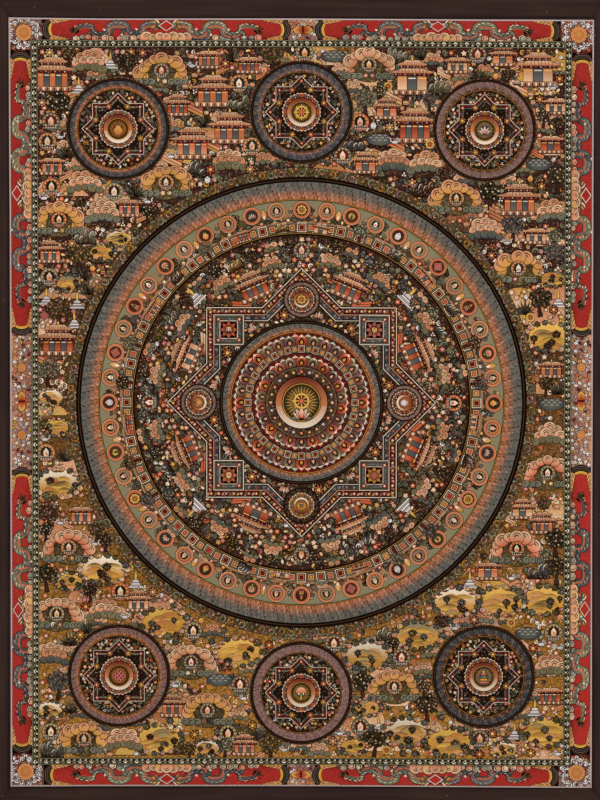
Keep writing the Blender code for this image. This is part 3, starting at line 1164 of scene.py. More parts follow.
@dataclass
class Wheel:
    """What a painted wheel is made of: rings of feathers, blocks and petals, round its pen's point."""

    seed: int
    radius: float

    def __post_init__(self) -> None:
        """Sets up the source of the wheel's variety."""
        self.rng = Random(self.seed)

    def feathers(
        self, pen: Pen, count: int, inner: float, outer: float, near: Paint, far: Paint, rows: int = 3
    ) -> None:
        """A ring of fine brushed feathers.

        Args:
            pen: a pen at the wheel's middle.
            count: how many feathers each row has.
            inner: the ring's inner radius.
            outer: its outer radius.
            near: the colour at its inner edge.
            far: the colour at its outer edge.
            rows: how many rows it has.
        """
        step = (outer - inner) / rows
        pen.discs(120, (outer, ring(near, far, inner, outer - step * 1.6, 0.5)))
        for row in range(rows):
            tones = ((INK, far, SLATE, SAGE, MAUVE), (BARK, near, MAUVE, SALMON, MAROON))[row < rows * 0.3]
            width = TURN * (inner + row * step) / count * 0.5
            for number, part in enumerate(pen.round(count, inner + (row + 0.04) * step, row / 2 / count)):
                part.fill(petal(step * 0.96, width, 0.9, 1), tones[number % 5])

    def petals(self, pen: Pen, count: int, inner: float, outer: float, paints: Sequence[Paint]) -> None:
        """A ring of lotus petals, each with a dark heart and a bead.

        Args:
            pen: the pen, at its middle.
            count: how many there are.
            inner: the radius that they grow from.
            outer: the radius that they reach.
            paints: their colours, by turns.
        """
        length, width = outer - inner, TURN * (inner + outer) / 2 / count
        for offset, share, wide, vein in ((0.5, 1.0, 0.9, CREAM), (0.0, 0.92, 0.98, PEACH)):
            for step, part in enumerate(pen.round(count, inner, offset / count)):
                tones = rise(MAROON, paints[step % len(paints)], -length * 0.2, length)
                part.draw(petal(length * share, width * wide, 0.8, 3), tones)
                part.fill(crescent(width * 0.3, width * 0.09, y=length * share * 0.52), vein)
                if not offset:
                    part.fill(petal(length * 0.5, width * 0.5, 0.7, y=length * 0.12), INK)
                    flame = petal(length * 0.3, width * 0.24, 0.7, y=length * 0.16)
                    part.fill(flame, (OCHRE, SALMON)[step % 2])
                    part.fill(oval(width * 0.09, sides=5, y=length * 0.74), CREAM)

    def blocks(self, pen: Pen, count: int, inner: float, outer: float, cores: Sequence[Paint]) -> None:
        """A ring of nested blocks.

        Args:
            pen: the pen, at its middle.
            count: how many there are.
            inner: the ring's inner radius.
            outer: its outer radius.
            cores: the colours of their middles, by turns.
        """
        high, width = outer - inner, TURN * inner / count
        pen.discs(count, (outer, INK))
        for step, part in enumerate(pen.round(count, inner)):
            edge, inlay = ((CREAM, TERRACOTTA), (SAGE, SALMON))[step % 2]
            bands = ((0.03, edge), (0.09, INK), (0.19, inlay), (0.29, INK), (0.35, cores[step % len(cores)]))
            for inset, paint in bands:
                half = width * (0.5 - inset)
                part.fill(box(-half, high * inset, half, high * (1 - inset)), paint)

    def octagram(self, pen: Pen, tip: float, bands: Sequence[tuple[float, Wash | Paint]]) -> None:
        """Two crossed squares. bands are insets from their edge, each with its wash."""
        for inset, wash in bands:
            for turn in (0.0, 0.125):
                pen.at(0, 0, turn).fill(square(tip * math.sqrt(0.5) - inset), wash)

    def black_rings(self, pen: Pen, radius: float, width: float) -> None:
        """Two heavy black rings with a pale line between them, as wide together as width."""
        sides = int(40 + radius * 0.36)
        pen.discs(sides, (radius, INK), (radius - width * 0.44, EARTH), (radius - width * 0.56, INK))

    def sunrise(self, pen: Pen, radius: float, halo: Paint) -> None:
        """A disc whose rim runs from maroon above to cream below, round a dark halo with fine rays.

        Args:
            pen: the pen, at its middle.
            radius: its radius.
            halo: the halo's inner colour.
        """
        pen.discs(40, (radius, INK), (radius * 0.96, rise(CREAM, TERRACOTTA, -radius, radius * 0.1)))
        pen.fill(arc(radius * 0.96, -0.02, 0.52, 20), rise(TERRACOTTA, MAROON, 0, radius))
        glow = ring(halo, INK, radius * 0.3, radius * 0.7)
        pen.discs(36, (radius * 0.74, INK), (radius * 0.71, OCHRE), (radius * 0.68, glow))
        for part in pen.round(28, radius * 0.3):
            part.fill(petal(radius * 0.34, radius * 0.035), OCHRE)

    def medallion(
        self, pen: Pen, radius: float, tick: float, emblem: Emblem, tones: tuple[Paint, Paint]
    ) -> None:
        """A round disc with black rings, a mauve ring with ticks, petals, and an emblem at its middle.

        Args:
            pen: the pen at its middle.
            radius: its radius.
            tick: how far apart its mauve ring's ticks are, in the same units.
            emblem: what stands at its middle.
            tones: the petals' two colours. The first one also lights its middle.
        """
        self.black_rings(pen, radius, radius * 0.09)
        self.feathers(pen, int(TURN * radius / tick), radius * 0.77, radius * 0.91, SAGE, MAUVE, 2)
        pen.discs(36, (radius * 0.77, INK), (radius * 0.74, even(EARTH, 0.9)))
        self.petals(pen, 12, radius * 0.42, radius * 0.72, tones)
        self.sunrise(pen, radius * 0.44, tones[0])
        emblem.draw(pen, radius * 0.22)


@dataclass
class GreatWheel(Wheel):
    """The great wheel in the middle: its rim, from the halo in to the blocks, and its heart."""

    seed: int = 11
    radius: float = 306.0
    seam: float = 219.0
    tip: float = 176.0

    BROCADE = (
        # inset from the crossed squares' edge, wash
        (-0.8, INK),
        (0.6, CREAM),
        (1.5, INK),
        (2.6, even(MAROON, 0.9)),
        (9.0, INK),
        (9.9, SALMON),
        (10.7, INK),
        (11.6, even(SLATE, 0.9)),
        (16.6, INK),
        (17.6, CREAM),
        (18.4, INK),
        (19.6, ring(EARTH, GROUND, 60, 170, 0.9)),
    )
    LOZENGE = (
        # inset, paint, share of fine ornament
        (0.0, INK, 0.0),
        (0.9, CREAM, 0.0),
        (1.8, INK, 0.0),
        (2.7, SAGE, 0.0),
        (3.3, INK, 0.0),
        (4.4, STEEL, 0.7),
        (8.0, INK, 0.0),
        (8.7, CREAM, 0.0),
        (9.4, MAROON, 0.7),
    )
    STATION_TONES = ((CORAL, TEAL), (TERRACOTTA, STEEL), (OCHRE, SAGE), (PINK, OLIVE))

    def paint_rim(self) -> Picture:
        """Paints the rings outside the seam.

        Returns:
            The rim's picture.
        """
        picture = Picture(self.seed, self.rng)
        pen = Pen(picture)
        pen.discs(160, (306, GROUND), (305.4, ring(BARK, OLIVE, 292, 306, 0.9)))
        for step, part in enumerate(pen.round(142, 299.4)):
            spot = part.at(0, pen.between(-0.8, 0.8), pen.between(0, 1))
            spot.draw(crescent(4.8, 2.0, -0.1, 0.6, 6), (SAGE, OLIVE, MAUVE, SAGE, MUSTARD)[step % 5], BARK)
            spot.draw(crescent(2.1, 1.3, 0.3, 1.0, 5), (SAGE, OCHRE, SALMON)[step % 3], BARK)
            part.at(6.2, -4.2).draw(oval(1.8, sides=6), (OLIVE, SAGE)[step % 2], BARK)
            part.at(6.2, 4.4).draw(oval(1.6, sides=6), (SAGE, TERRACOTTA)[step % 2], BARK)
        self.black_rings(pen, 293.4, 6.2)
        self.feathers(pen, 500, 265.0, 287.2, TERRACOTTA, STEEL, 4)
        pen.discs(160, (265.0, INK), (264.4, OCHRE), (263.8, INK), (262.8, ring(TERRACOTTA, SAGE, 222, 260)))
        self._scenes(pen)
        self.blocks(pen, 112, 221.4, 234.2, (MAROON, OCHRE, RED, CORAL))
        for part in pen.round(28, 231, 0.5 / 28):
            kind = pen.pick(("tree", "tree", "cloud", "hall", "rock"))
            spot = part.lined(0.6).at(0, pen.between(-1, 3), pen.between(-0.02, 0.02))
            match kind:
                case "tree":
                    tree(spot, 23)
                case "cloud":
                    cloud(spot, 22)
                case "hall":
                    pavilion(spot.at(0, -9), 20, 1)
                case "rock":
                    rock(spot.at(0, -9), 17)
        pen.discs(120, (221.4, INK), (220.6, MUSTARD), (219.8, INK))
        return picture

    def _scenes(self, pen: Pen) -> None:
        """The ring of pale ground with roundels, clouds, flames and animals."""
        for part in pen.round(80, 237, 0.004):
            width, height = pen.between(16, 30), pen.between(5, 15)
            hill(part, width, height, MOSS, pen.pick((OLIVE, TERRACOTTA, SAGE, STEEL, SALMON)), 0.4)
        for step, part in enumerate(pen.round(80, 248, 0.25 / 40)):
            spot = part.lined(0.6).at(pen.between(-1, 1), pen.between(-5, 3))
            match step % 10:
                case 0 | 5:
                    cloud(spot, 17)
                case 1:
                    deer(spot, 8.5)
                case 3 | 8:
                    crane(spot, 8.5)
                case 6:
                    palm(spot, 15)
                case 2 | 7:
                    flame(spot.at(0, -5), 6.5, pen.pick((VERMILION, CORAL, PINK)))
                case _:
                    tree(spot.at(0, -1), 17)
        for part in pen.round(170, 237.6):
            filler(part, 3.0, 0.3)
        for step, part in enumerate(pen.round(48, 250.8)):
            self._roundel(part, 10.8, step)

    def _roundel(self, pen: Pen, radius: float, step: int) -> None:
        """A haloed roundel, with a jewel shrine in every other one and an emblem in the rest.

        Args:
            pen: the pen, at its middle.
            radius: its radius.
            step: its number round the ring, from 0.
        """
        pen.draw(oval(radius * 1.06), SALMON)
        rim, field_tones = (CORAL, TERRACOTTA)[step % 2], ring(CORAL, TERRACOTTA, 0, radius)
        pen.discs(20, (radius * 0.97, rim), (radius * 0.86, field_tones), (radius * 0.76, EARTH))
        if step % 2:
            shrine(pen.lined(0.5), radius * 0.72)
            return
        glow = (MAROON, SLATE, PINE, OLIVE)[step // 2 % 4]
        pen.discs(16, (radius * 0.7, ring(glow, BARK, 0, radius * 0.7)))
        EMBLEMS[step // 2 % len(EMBLEMS)].draw(pen.lined(0.5), radius * 0.54)

    def paint_heart(self) -> Picture:
        """Paints the disc inside the seam.

        Returns:
            The heart's picture.
        """
        picture = Picture(self.seed + 1, self.rng)
        pen = Pen(picture)
        pen.discs(120, (222, INK), (217.6, ring(EARTH, BARK, 120, 217, 0.9)))
        self._ground(pen)
        self.octagram(pen, self.tip, self.BROCADE)
        self._band_flowers(pen, self.tip * math.sqrt(0.5))
        self._court(pen)
        for step, part in enumerate(pen.round(8, 134)):
            self._station(part, 24.5, step)
        self.black_rings(pen, 107, 4.6)
        self.feathers(pen, 210, 93.5, 102.4, TERRACOTTA, STEEL)
        pen.discs(72, (93.5, INK), (92.6, OCHRE), (91.8, MAROON))
        self.petals(pen, 32, 73.5, 91, (CORAL, STEEL, MAUVE, SAGE))
        self.blocks(pen, 48, 65, 74.5, (MAROON, OCHRE))
        pen.discs(60, (65, INK), (64.2, even(MAROON, 0.6)))
        self.petals(pen, 22, 47, 63, (CORAL, SAGE, PINK, STEEL))
        pen.discs(60, (46.6, INK), (45.8, SAGE), (45.2, ring(PINE, EARTH, 30, 46, 0.9)))
        for step, part in enumerate(pen.round(24, 40)):
            floret(part, 2.6, (CORAL, OCHRE, SALMON, LILAC)[step % 4])
        self.sunrise(pen, 35, OLIVE)
        lotus(pen.at(0, -20), 26, CORAL, SAGE)
        Emblem.WHEEL.draw(pen.at(0, 2), 10.5)
        return picture

    def _ground(self, pen: Pen) -> None:
        """The scenes between the rim and the crossed squares."""

        def clear(x: float, y: float) -> bool:
            """Whether the place is clear of the crossed squares and the rim."""
            return 124 < max(abs(x), abs(y), (abs(x) + abs(y)) * math.sqrt(0.5)) and math.hypot(x, y) < 213

        fill_with(pen, clear, 215, 7.8, lambda spot: filler(spot, 3.9, 0.4))
        for step, part in enumerate(pen.round(48, 205, 0.5 / 48)):
            spot = part.at(pen.between(-2, 2), pen.between(-8, 2))
            match step % 4:
                case 0:
                    tree(spot, 22)
                case 1:
                    cloud(spot, 26)
                case 2:
                    tree(spot, 19)
                case 3:
                    rock(spot.at(0, -8), 18)
        for part in pen.round(16, 186, 1 / 32):
            cloud(part.at(pen.between(-3, 3), pen.between(-6, 4)), 30)
        for step, part in enumerate(pen.round(16, 178)):
            if step % 2:
                pavilion(part.at(0, -26), 40)
            elif step % 4:
                stupa(part.at(0, 21), 26)
            else:
                shrine(part.at(0, 20), 10.5)

    def _band_flowers(self, pen: Pen, half: float) -> None:
        """The flowers along the squares' bands.

        Args:
            pen: the pen, at its middle.
            half: how far the squares' edges are from it.
        """
        for eighth in range(8):
            side = pen.at(0, 0, eighth / 8)
            for step in range(25):
                x = (step - 12) * 9.8
                if abs(x) < half * 0.36:
                    continue
                floret(side.at(x, half - 5.8), 2.4, (OCHRE, PINK, SALMON)[step % 3])
                comma(side.at(x + 4.9, half - 5.8), 1.7, (PEACH, SAGE)[step % 2])
                dots(side.at(x, half - 14.1), 1.9, (CORAL, LILAC)[step % 2])

    def _court(self, pen: Pen) -> None:
        """What stands between the eight stations: small dense ornament, with flowers round the lotus."""

        def inside(x: float, y: float) -> bool:
            """Whether the place is on the court."""
            side, reach = self.tip * math.sqrt(0.5) - 22, (abs(x) + abs(y)) * math.sqrt(0.5)
            return math.hypot(x, y) > 108 and (max(abs(x), abs(y)) < side or reach < side)

        fill_with(pen, inside, 156, 7.0, lambda spot: filler(spot, 3.4, 0.38))
        for step, part in enumerate(pen.round(16, 116, 1 / 32)):
            if step % 2:
                lotus(part.at(0, -4), 14, CORAL)
            else:
                rosette(part, 6.4, 8, TERRACOTTA)

    def _station(self, pen: Pen, radius: float, step: int) -> None:
        """One of the eight stations round the lotus, by turns a ringed disc and a crossed lozenge.

        Args:
            pen: the pen, at its middle.
            radius: its radius.
            step: its number round the lotus, from 0.
        """
        tones = self.STATION_TONES[step // 2]
        if step % 2 == 0:
            self.medallion(pen.lined(0.5), radius, 1.9, EMBLEMS[step], tones)
            return
        for inset, paint, fine in self.LOZENGE:
            pen.at(0, 0, 0.125).fill(square(radius * 0.84 - inset), even(paint, fine))
        for part in pen.round(4, radius * 0.78):
            floret(part, 3.0, CORAL)
        rosette(pen, radius * 0.46, 8, tones[0])
        EMBLEMS[step].draw(pen.at(0, 0, -step / 8), radius * 0.2)


@dataclass
class SmallWheel(Wheel):
    """A small wheel with the same rings as the great one, in less detail."""

    radius: float = 68.0
    tone: int = 0

    def paint(self, centre: Point) -> Picture:
        """Paints the wheel round its centre on the canvas.

        Args:
            centre: its centre.

        Returns:
            The wheel's picture.
        """
        picture = Picture(self.seed, self.rng)
        pen = Pen(picture, 0.6).at(*centre)
        cool, warm = ((TEAL, CORAL), (STEEL, TERRACOTTA), (SAGE, PINK))[self.tone % 3]
        near, far = (MAUVE, EARTH, TERRACOTTA)[self.tone % 3], (SLATE, MAUVE)[self.tone % 2]
        pen.discs(80, (68, even(EARTH, 0.9)))
        self.black_rings(pen, 66.2, 3.6)
        self.feathers(pen, 156, 53.4, 62.6, near, far)
        pen.discs(60, (53.4, INK), (52.6, MUSTARD), (52.0, INK), (51.4, ring(BARK, GROUND, 20, 52, 0.9)))
        fill_with(pen, lambda x, y: math.hypot(x, y) < 49.5, 50, 5.8, lambda spot: filler(spot, 2.7, 0.36))
        band, middle, ground = even(MAROON, 0.8), even(cool, 0.7), even(GROUND, 0.9)
        outer = ((-0.4, INK), (0.5, CREAM), (1.1, INK), (1.7, band))
        self.octagram(pen, 48, (*outer, (4.2, INK), (4.8, middle), (6.6, INK), (7.2, ground)))
        for step, part in enumerate(pen.round(16, 41.5)):
            if step % 2:
                dots(part.at(0, -4), 2.2, (PEACH, CREAM)[step % 4 // 2])
            else:
                floret(part.at(0, -1), 2.4, warm)
        for step, part in enumerate(pen.round(8, 31.5, 1 / 16)):
            rosette(part.lined(0.35), 4.2, 6, (warm, OCHRE)[step % 2])
        self.black_rings(pen, 27.6, 1.8)
        self.petals(pen.lined(0.45), 16, 18.5, 26, (warm, cool))
        self.sunrise(pen, 19.5, (MOSS, SLATE, MAROON)[self.tone % 3])
        EMBLEMS[self.seed % len(EMBLEMS)].draw(pen.lined(0.45), 8.6)
        return picture


@dataclass(frozen=True)
class Kind:
    """A kind of landscape subject.

    width is its room, and count how many there are. draw is given a pen that is moved down by the share drop
    of the width, and the share size of the width. highest is how high up it may stand, as a share of the
    picture's height.
    """

    width: float
    count: int
    draw: Callable[[Pen, float], None]
    drop: float = 0.0
    size: float = 1.0
    highest: float = 1.0

    def place(self, pen: Pen) -> None:
        """Draws one, with the pen at its middle."""
        self.draw(pen.at(0, -self.width * self.drop), self.width * self.size)


@dataclass
class Landscape:
    """The scenes round the wheels: dark hills above, ochre ground below, and clouds, halls and trees."""

    half: Point
    wheels: tuple[tuple[Point, float], ...]
    seed: int = 23
    hills: int = 300
    tries: int = 2400
    filler_pitch: float = 7.6

    KINDS = (
        Kind(66, 14, cloud_arch),
        Kind(60, 14, valley, highest=0.3),
        Kind(36, 12, valley, highest=0.5),
        Kind(56, 9, pavilion, 0.26, 0.82),
        Kind(38, 22, lambda pen, size: pavilion(pen, size, pen.pick((1, 2))), 0.2, 0.8),
        Kind(46, 20, cloud, 0.1),
        Kind(34, 6, pond),
        Kind(30, 26, tree, 0.06, 1.15),
        Kind(25, 22, shrine, size=0.46),
        Kind(28, 76, lambda pen, size: cloud(pen, size, pen.chance(0.8)), 0.1),
        Kind(25, 30, rock, 0.4, 1.1),
        Kind(22, 12, stupa),
        Kind(19, 34, palm, size=1.1),
        Kind(18, 70, tree, 0.06, 1.25),
        Kind(14, 40, lambda pen, size: rosette(pen, size, pen.pick((6, 8)), pen.pick(WARM)), size=0.42),
        Kind(14, 20, lambda pen, size: deer(pen.at(0, 0, flip=pen.chance(0.5)), size), size=0.66),
        Kind(14, 26, lambda pen, size: crane(pen.at(0, 0, flip=pen.chance(0.5)), size), size=0.66),
        Kind(13, 24, lambda pen, size: pen.pick(EMBLEMS).draw(pen, size), size=0.42),
    )
    DARK_SOILS = (
        (BARK, EARTH),
        (MOSS, OLIVE),
        (GROUND, EARTH),
        (MAROON, BARK),
        (BARK, MUSTARD),
        (EARTH, TERRACOTTA),
        (EARTH, MAUVE),
    )
    LIGHT_SOILS = (
        (SALMON, MUSTARD),
        (GOLD, OCHRE),
        (PEACH, OCHRE),
        (SALMON, SAGE),
        (SALMON, TERRACOTTA),
        (GOLD, SALMON),
        (PEACH, SALMON),
    )

    def free(self, x: float, y: float, radius: float) -> bool:
        """Whether a round subject at this place clears the wheels and the border."""
        if abs(x) > self.half[0] - radius * 0.6 or abs(y) > self.half[1] - radius * 0.6:
            return False
        return all(math.hypot(x - wx, y - wy) > reach + radius * 0.7 for (wx, wy), reach in self.wheels)

    def paint(self) -> Picture:
        """Paints the whole landscape.

        Returns:
            The landscape's picture.
        """
        picture = Picture(self.seed, Random(self.seed))
        pen = Pen(picture)
        across, up = self.half
        pen.fill(box(-across - 2, -up - 2, across + 2, up + 2), rise(MUSTARD, BARK, -up, up * 0.3, 0.8))
        self._hills(pen)
        placed = self._places(pen)
        spots = np.array([(x, y, kind.width * 0.42) for x, y, kind in placed])

        def open_ground(x: float, y: float) -> bool:
            """Whether a small ornament shows here.

            Args:
                x: the place to the right.
                y: the place upwards.

            Returns:
                True where no wheel covers it.
            """
            low = y < up * 0.25 * (abs(x) > across * 0.75) - up * 0.2
            if low and math.sin(x / 13) + math.sin(y / 9 + x / 31) > 0.7:
                return False
            away = np.hypot(spots[:, 0] - x, spots[:, 1] - y)
            return self.free(x, y, 3) and bool((away > spots[:, 2]).all())

        def ornament(spot: Pen) -> None:
            """One small ornament, which is seldom a green one near the sides."""
            filler(spot, 4.0, 0.12 if abs(spot.place[0]) > 240 else 0.36)

        fill_with(pen, open_ground, up, self.filler_pitch, ornament)
        for (x, y), reach in self.wheels[1:]:
            for part in pen.at(x, y).round(16, reach + 5):
                cloud(part.upright(), pen.between(22, 30))
        for x, y, kind in sorted(placed, key=lambda item: -item[1]):
            kind.place(pen.at(x, y))
        return picture

    def _hills(self, pen: Pen) -> None:
        """The ground, as overlapping hills from the top of the picture to its foot."""
        across, up = self.half
        spots = [(pen.between(-across, across), pen.between(-up - 20, up)) for _ in range(self.hills)]
        for x, y in sorted(spots, key=lambda spot: -spot[1]):
            if self.free(x, y + 8, 0):
                light = pen.chance(0.4 + 0.6 * (abs(x) > across * 0.7) + 0.35 * (y < -up * 0.2))
                soil = pen.pick(self.LIGHT_SOILS if light else self.DARK_SOILS)
                width, height = pen.between(34, 80), pen.between(14, 32)
                hill(pen.at(x, y - 12), width, height, *soil, 0.3 if light else 0.8)

    def _places(self, pen: Pen) -> list[tuple[float, float, Kind]]:
        """Places for all the subjects, the widest first, so that none is buried.

        Args:
            pen: the pen, at the canvas's middle.

        Returns:
            Each subject's place and kind.
        """
        across, up = self.half
        placed: list[tuple[float, float, Kind]] = []
        for kind in self.KINDS:
            made = 0
            for _ in range(self.tries):
                x, y = pen.between(-across, across), pen.between(-up, up)
                if made < kind.count and y < kind.highest * up and self.free(x, y, kind.width / 2):
                    near = (
                        math.hypot(there - x, high - y) <= (kind.width + other.width) * 0.42
                        for there, high, other in placed
                    )
                    if not any(near):
                        placed.append((x, y, kind))
                        made += 1
        return placed


# Shader graphs and finishes

FLAT_MAP = "Flat"
BAKE_MAP = "OFBake"
BEHIND = "Behind"
PAINT_COLOURS = "Paint"
GOLD_SHARE = "Gold"

Feed = Any
Feeds = dict[str | int, Feed]


@dataclass(frozen=True)
class Wire:
    """One output socket, which can stand in a sum. Python's operators add Math nodes to its graph."""

    graph: "Graph"
    socket: bpy.types.NodeSocket

    def maths(self, operation: str, *feeds: Feed) -> "Wire":
        """A Math node on the given values and wires."""
        return self.graph.node("Math", dict(enumerate(feeds)), operation=operation)

    def __add__(self, other: Feed) -> "Wire":
        """This plus another."""
        return self.maths("ADD", self, other)

    def __sub__(self, other: Feed) -> "Wire":
        """This less another."""
        return self.maths("SUBTRACT", self, other)

    def __rsub__(self, other: Feed) -> "Wire":
        """Another less this."""
        return self.maths("SUBTRACT", other, self)

    def __mul__(self, other: Feed) -> "Wire":
        """This times another."""
        return self.maths("MULTIPLY", self, other)

    def __gt__(self, other: Feed) -> "Wire":
        """1 where this is greater, and else 0."""
        return self.maths("GREATER_THAN", self, other)

    __radd__ = __add__
    __rmul__ = __mul__

    def clipped(self) -> "Wire":
        """This held between 0 and 1."""
        return self.maths("MINIMUM", self.maths("MAXIMUM", self, 0.0), 1.0)

    def beside(self, output: str) -> "Wire":
        """Another output of this one's node."""
        return Wire(self.graph, self.socket.node.outputs[output])


@dataclass(frozen=True)
class Graph:
    """The node graph of one material."""

    material: bpy.types.Material

    @classmethod
    def start(cls, name: str) -> "Graph":
        """A new material with an empty graph."""
        material = bpy.data.materials.new(name)
        material.use_nodes = True
        material.node_tree.nodes.clear()
        return cls(material)

    def node(
        self, kind: str, feeds: Feeds | None = None, output: str | int = 0, **settings: Any
    ) -> Wire | None:
        """Adds a node.

        Args:
            kind: the node's type, without its ShaderNode.
            feeds: a value or a wire for each of its sockets, by identifier or number.
            output: the output to give back, by identifier or number.
            settings: its settings, which are set first.

        Returns:
            The wire of that output, or None for a node that has none.
        """
        tree = self.material.node_tree
        made = tree.nodes.new(f"ShaderNode{kind}")
        for name, value in settings.items():
            setattr(made, name, value)
        by_name = {socket.identifier: socket for socket in made.inputs}
        for name, feed in (feeds or {}).items():
            socket = made.inputs[name] if isinstance(name, int) else by_name[name]
            if isinstance(feed, Wire):
                tree.links.new(feed.socket, socket)
            else:
                socket.default_value = feed
        outputs = {socket.identifier: socket for socket in made.outputs}
        if not outputs:
            return None
        return Wire(self, made.outputs[output] if isinstance(output, int) else outputs[output])

    def mix(self, share: Feed, first: Feed, second: Feed) -> Wire:
        """A mix of two colours. share is the second one's part."""
        feeds = {"Factor_Float": share, "A_Color": first, "B_Color": second}
        return self.node("Mix", feeds, "Result_Color", data_type="RGBA", blend_type="MIX")

    def shaded(self, colour: Wire, by: Wire) -> Wire:
        """A colour made lighter or darker by a value round 1."""
        return self.node("VectorMath", {0: colour, "Scale": by}, operation="SCALE")

    def flat_place(self) -> Wire:
        """The place on the flat cloth, in metres."""
        return self.node("UVMap", uv_map=FLAT_MAP)

    def noise(self, place: Wire, scale: float, detail: float = 3.0, rough: float = 0.5) -> Wire:
        """Cloudy noise, mostly between 0.3 and 0.7."""
        return self.node("TexNoise", {"Vector": place, "Scale": scale, "Detail": detail, "Roughness": rough})

    def cells(self, place: Wire, scale: float, feature: str = "F1") -> Wire:
        """How far the place is from the middle of its cell, or from its cell's edge."""
        return self.node("TexVoronoi", {"Vector": place, "Scale": scale}, "Distance", feature=feature)

    def stretched(self, place: Wire, by: tuple[float, float, float]) -> Wire:
        """A place, stretched along its three ways."""
        return self.node("VectorMath", {0: place, 1: by}, operation="MULTIPLY")

    def weave(self, place: Wire, pitch: float) -> Wire:
        """The height of a plain weave with threads pitch apart, round 0."""
        along = self.node("SeparateXYZ", {"Vector": self.stretched(place, (TURN / pitch,) * 3)}, "X")
        across = along.beside("Y")
        return along.maths("SINE", along) * across.maths("SINE", across)

    def cloth(self, colour: Feed, height: Wire, depth: float, rough: Feed, **others: Feed) -> None:
        """Ends the graph in a matt surface.

        Args:
            colour: its colour.
            height: its relief, in units of depth.
            depth: the relief's real depth in metres.
            rough: its roughness.
            others: numbers or wires for the shader's other sockets, by identifier with _ for a space.
        """
        bump = self.node("Bump", {"Strength": 0.6, "Distance": depth, "Height": height})
        feeds = {"Base Color": colour, "Normal": bump, "Roughness": rough}
        feeds |= {name.replace("_", " "): value for name, value in others.items()}
        self.node("OutputMaterial", {"Surface": self.node("BsdfPrincipled", feeds)})


@dataclass(frozen=True)
class Finish:
    """What a material looks like."""

    name: str

    def surface(self, graph: Graph) -> None:
        """Draws the material's graph. Each finish has its own."""
        raise NotImplementedError

    def make(self) -> bpy.types.Material:
        """Builds the material."""
        graph = Graph.start(self.name)
        self.surface(graph)
        return graph.material


@dataclass(frozen=True)
class PaintFinish(Finish):
    """Fine matt mineral paint on primed canvas, with brushed ornament and touches of gold."""

    name: str = "mineral_paint"
    ornament: float = 300.0
    mottle: float = 34.0
    grain: float = 620.0
    weave_pitch: float = 0.0014
    relief: float = 0.00006

    def surface(self, graph: Graph) -> None:
        """Reads the colours that the film's mesh holds, and brushes ornament over them."""
        paint = graph.node("Attribute", output="Color", attribute_name=PAINT_COLOURS)
        fine = paint.beside("Alpha")
        gold = graph.node("Attribute", output="Fac", attribute_name=GOLD_SHARE)
        place = graph.flat_place()
        spots = graph.cells(place, self.ornament)
        hue = graph.noise(place, self.ornament * 0.8)
        curls = graph.cells(place, self.ornament * 0.55, "DISTANCE_TO_EDGE")
        pale = (0.34 - spots).clipped() * 5.0
        dark = (curls > 0.07) * -1.0 + 1.0
        highlight = (pale * fine).clipped() * 0.55
        lit = graph.mix(highlight, paint, graph.mix((hue - 0.38).clipped() * 4.0, CORAL.rgba, CREAM.rgba))
        drawn = graph.mix((dark * fine).clipped() * 0.7, lit, INK.rgba)
        brushed = graph.noise(graph.stretched(place, (1.0, 0.35, 1.0)), self.grain, 2.0)
        tone = graph.noise(place, self.mottle, 4.0)
        colour = graph.shaded(drawn, 0.72 + brushed * 0.34 + tone * 0.22)
        height = graph.weave(place, self.weave_pitch) * 0.35 + brushed * 0.5 + dark * fine * 0.3
        rough = 0.9 - gold * 0.45
        graph.cloth(colour, height, self.relief, rough, Metallic=gold * 0.6, Specular_IOR_Level=0.03)


@dataclass(frozen=True)
class PrimedFinish(Finish):
    """The canvas itself: pale primer round the painting's edge, raw cotton behind."""

    name: str = "primed_cotton"
    weave_pitch: float = 0.0014
    relief: float = 0.00016

    def surface(self, graph: Graph) -> None:
        """Weaves the cotton, stained and slubbed."""
        place = graph.flat_place()
        behind = graph.node("Attribute", output="Fac", attribute_name=BEHIND)
        weave = graph.weave(place, self.weave_pitch)
        stains = graph.noise(place, 9.0, 5.0, 0.6)
        slubs = graph.noise(graph.stretched(place, (1.0, 14.0, 1.0)), 60.0)
        cotton = graph.mix(stains, RAW_COTTON.rgba, THREAD.rgba)
        colour = graph.mix(behind, BARE_COTTON.rgba, cotton)
        # weave * 0.07 lightens the thread crests and darkens the hollows between them: painted shade of the
        # weave's relief, beside the real stains and slubs.
        shaded = graph.shaded(colour, 0.80 + stains * 0.24 + slubs * 0.16 + weave * 0.07)
        graph.cloth(shaded, weave * 0.6 + slubs * 0.4, self.relief, 0.88, Specular_IOR_Level=0.2)


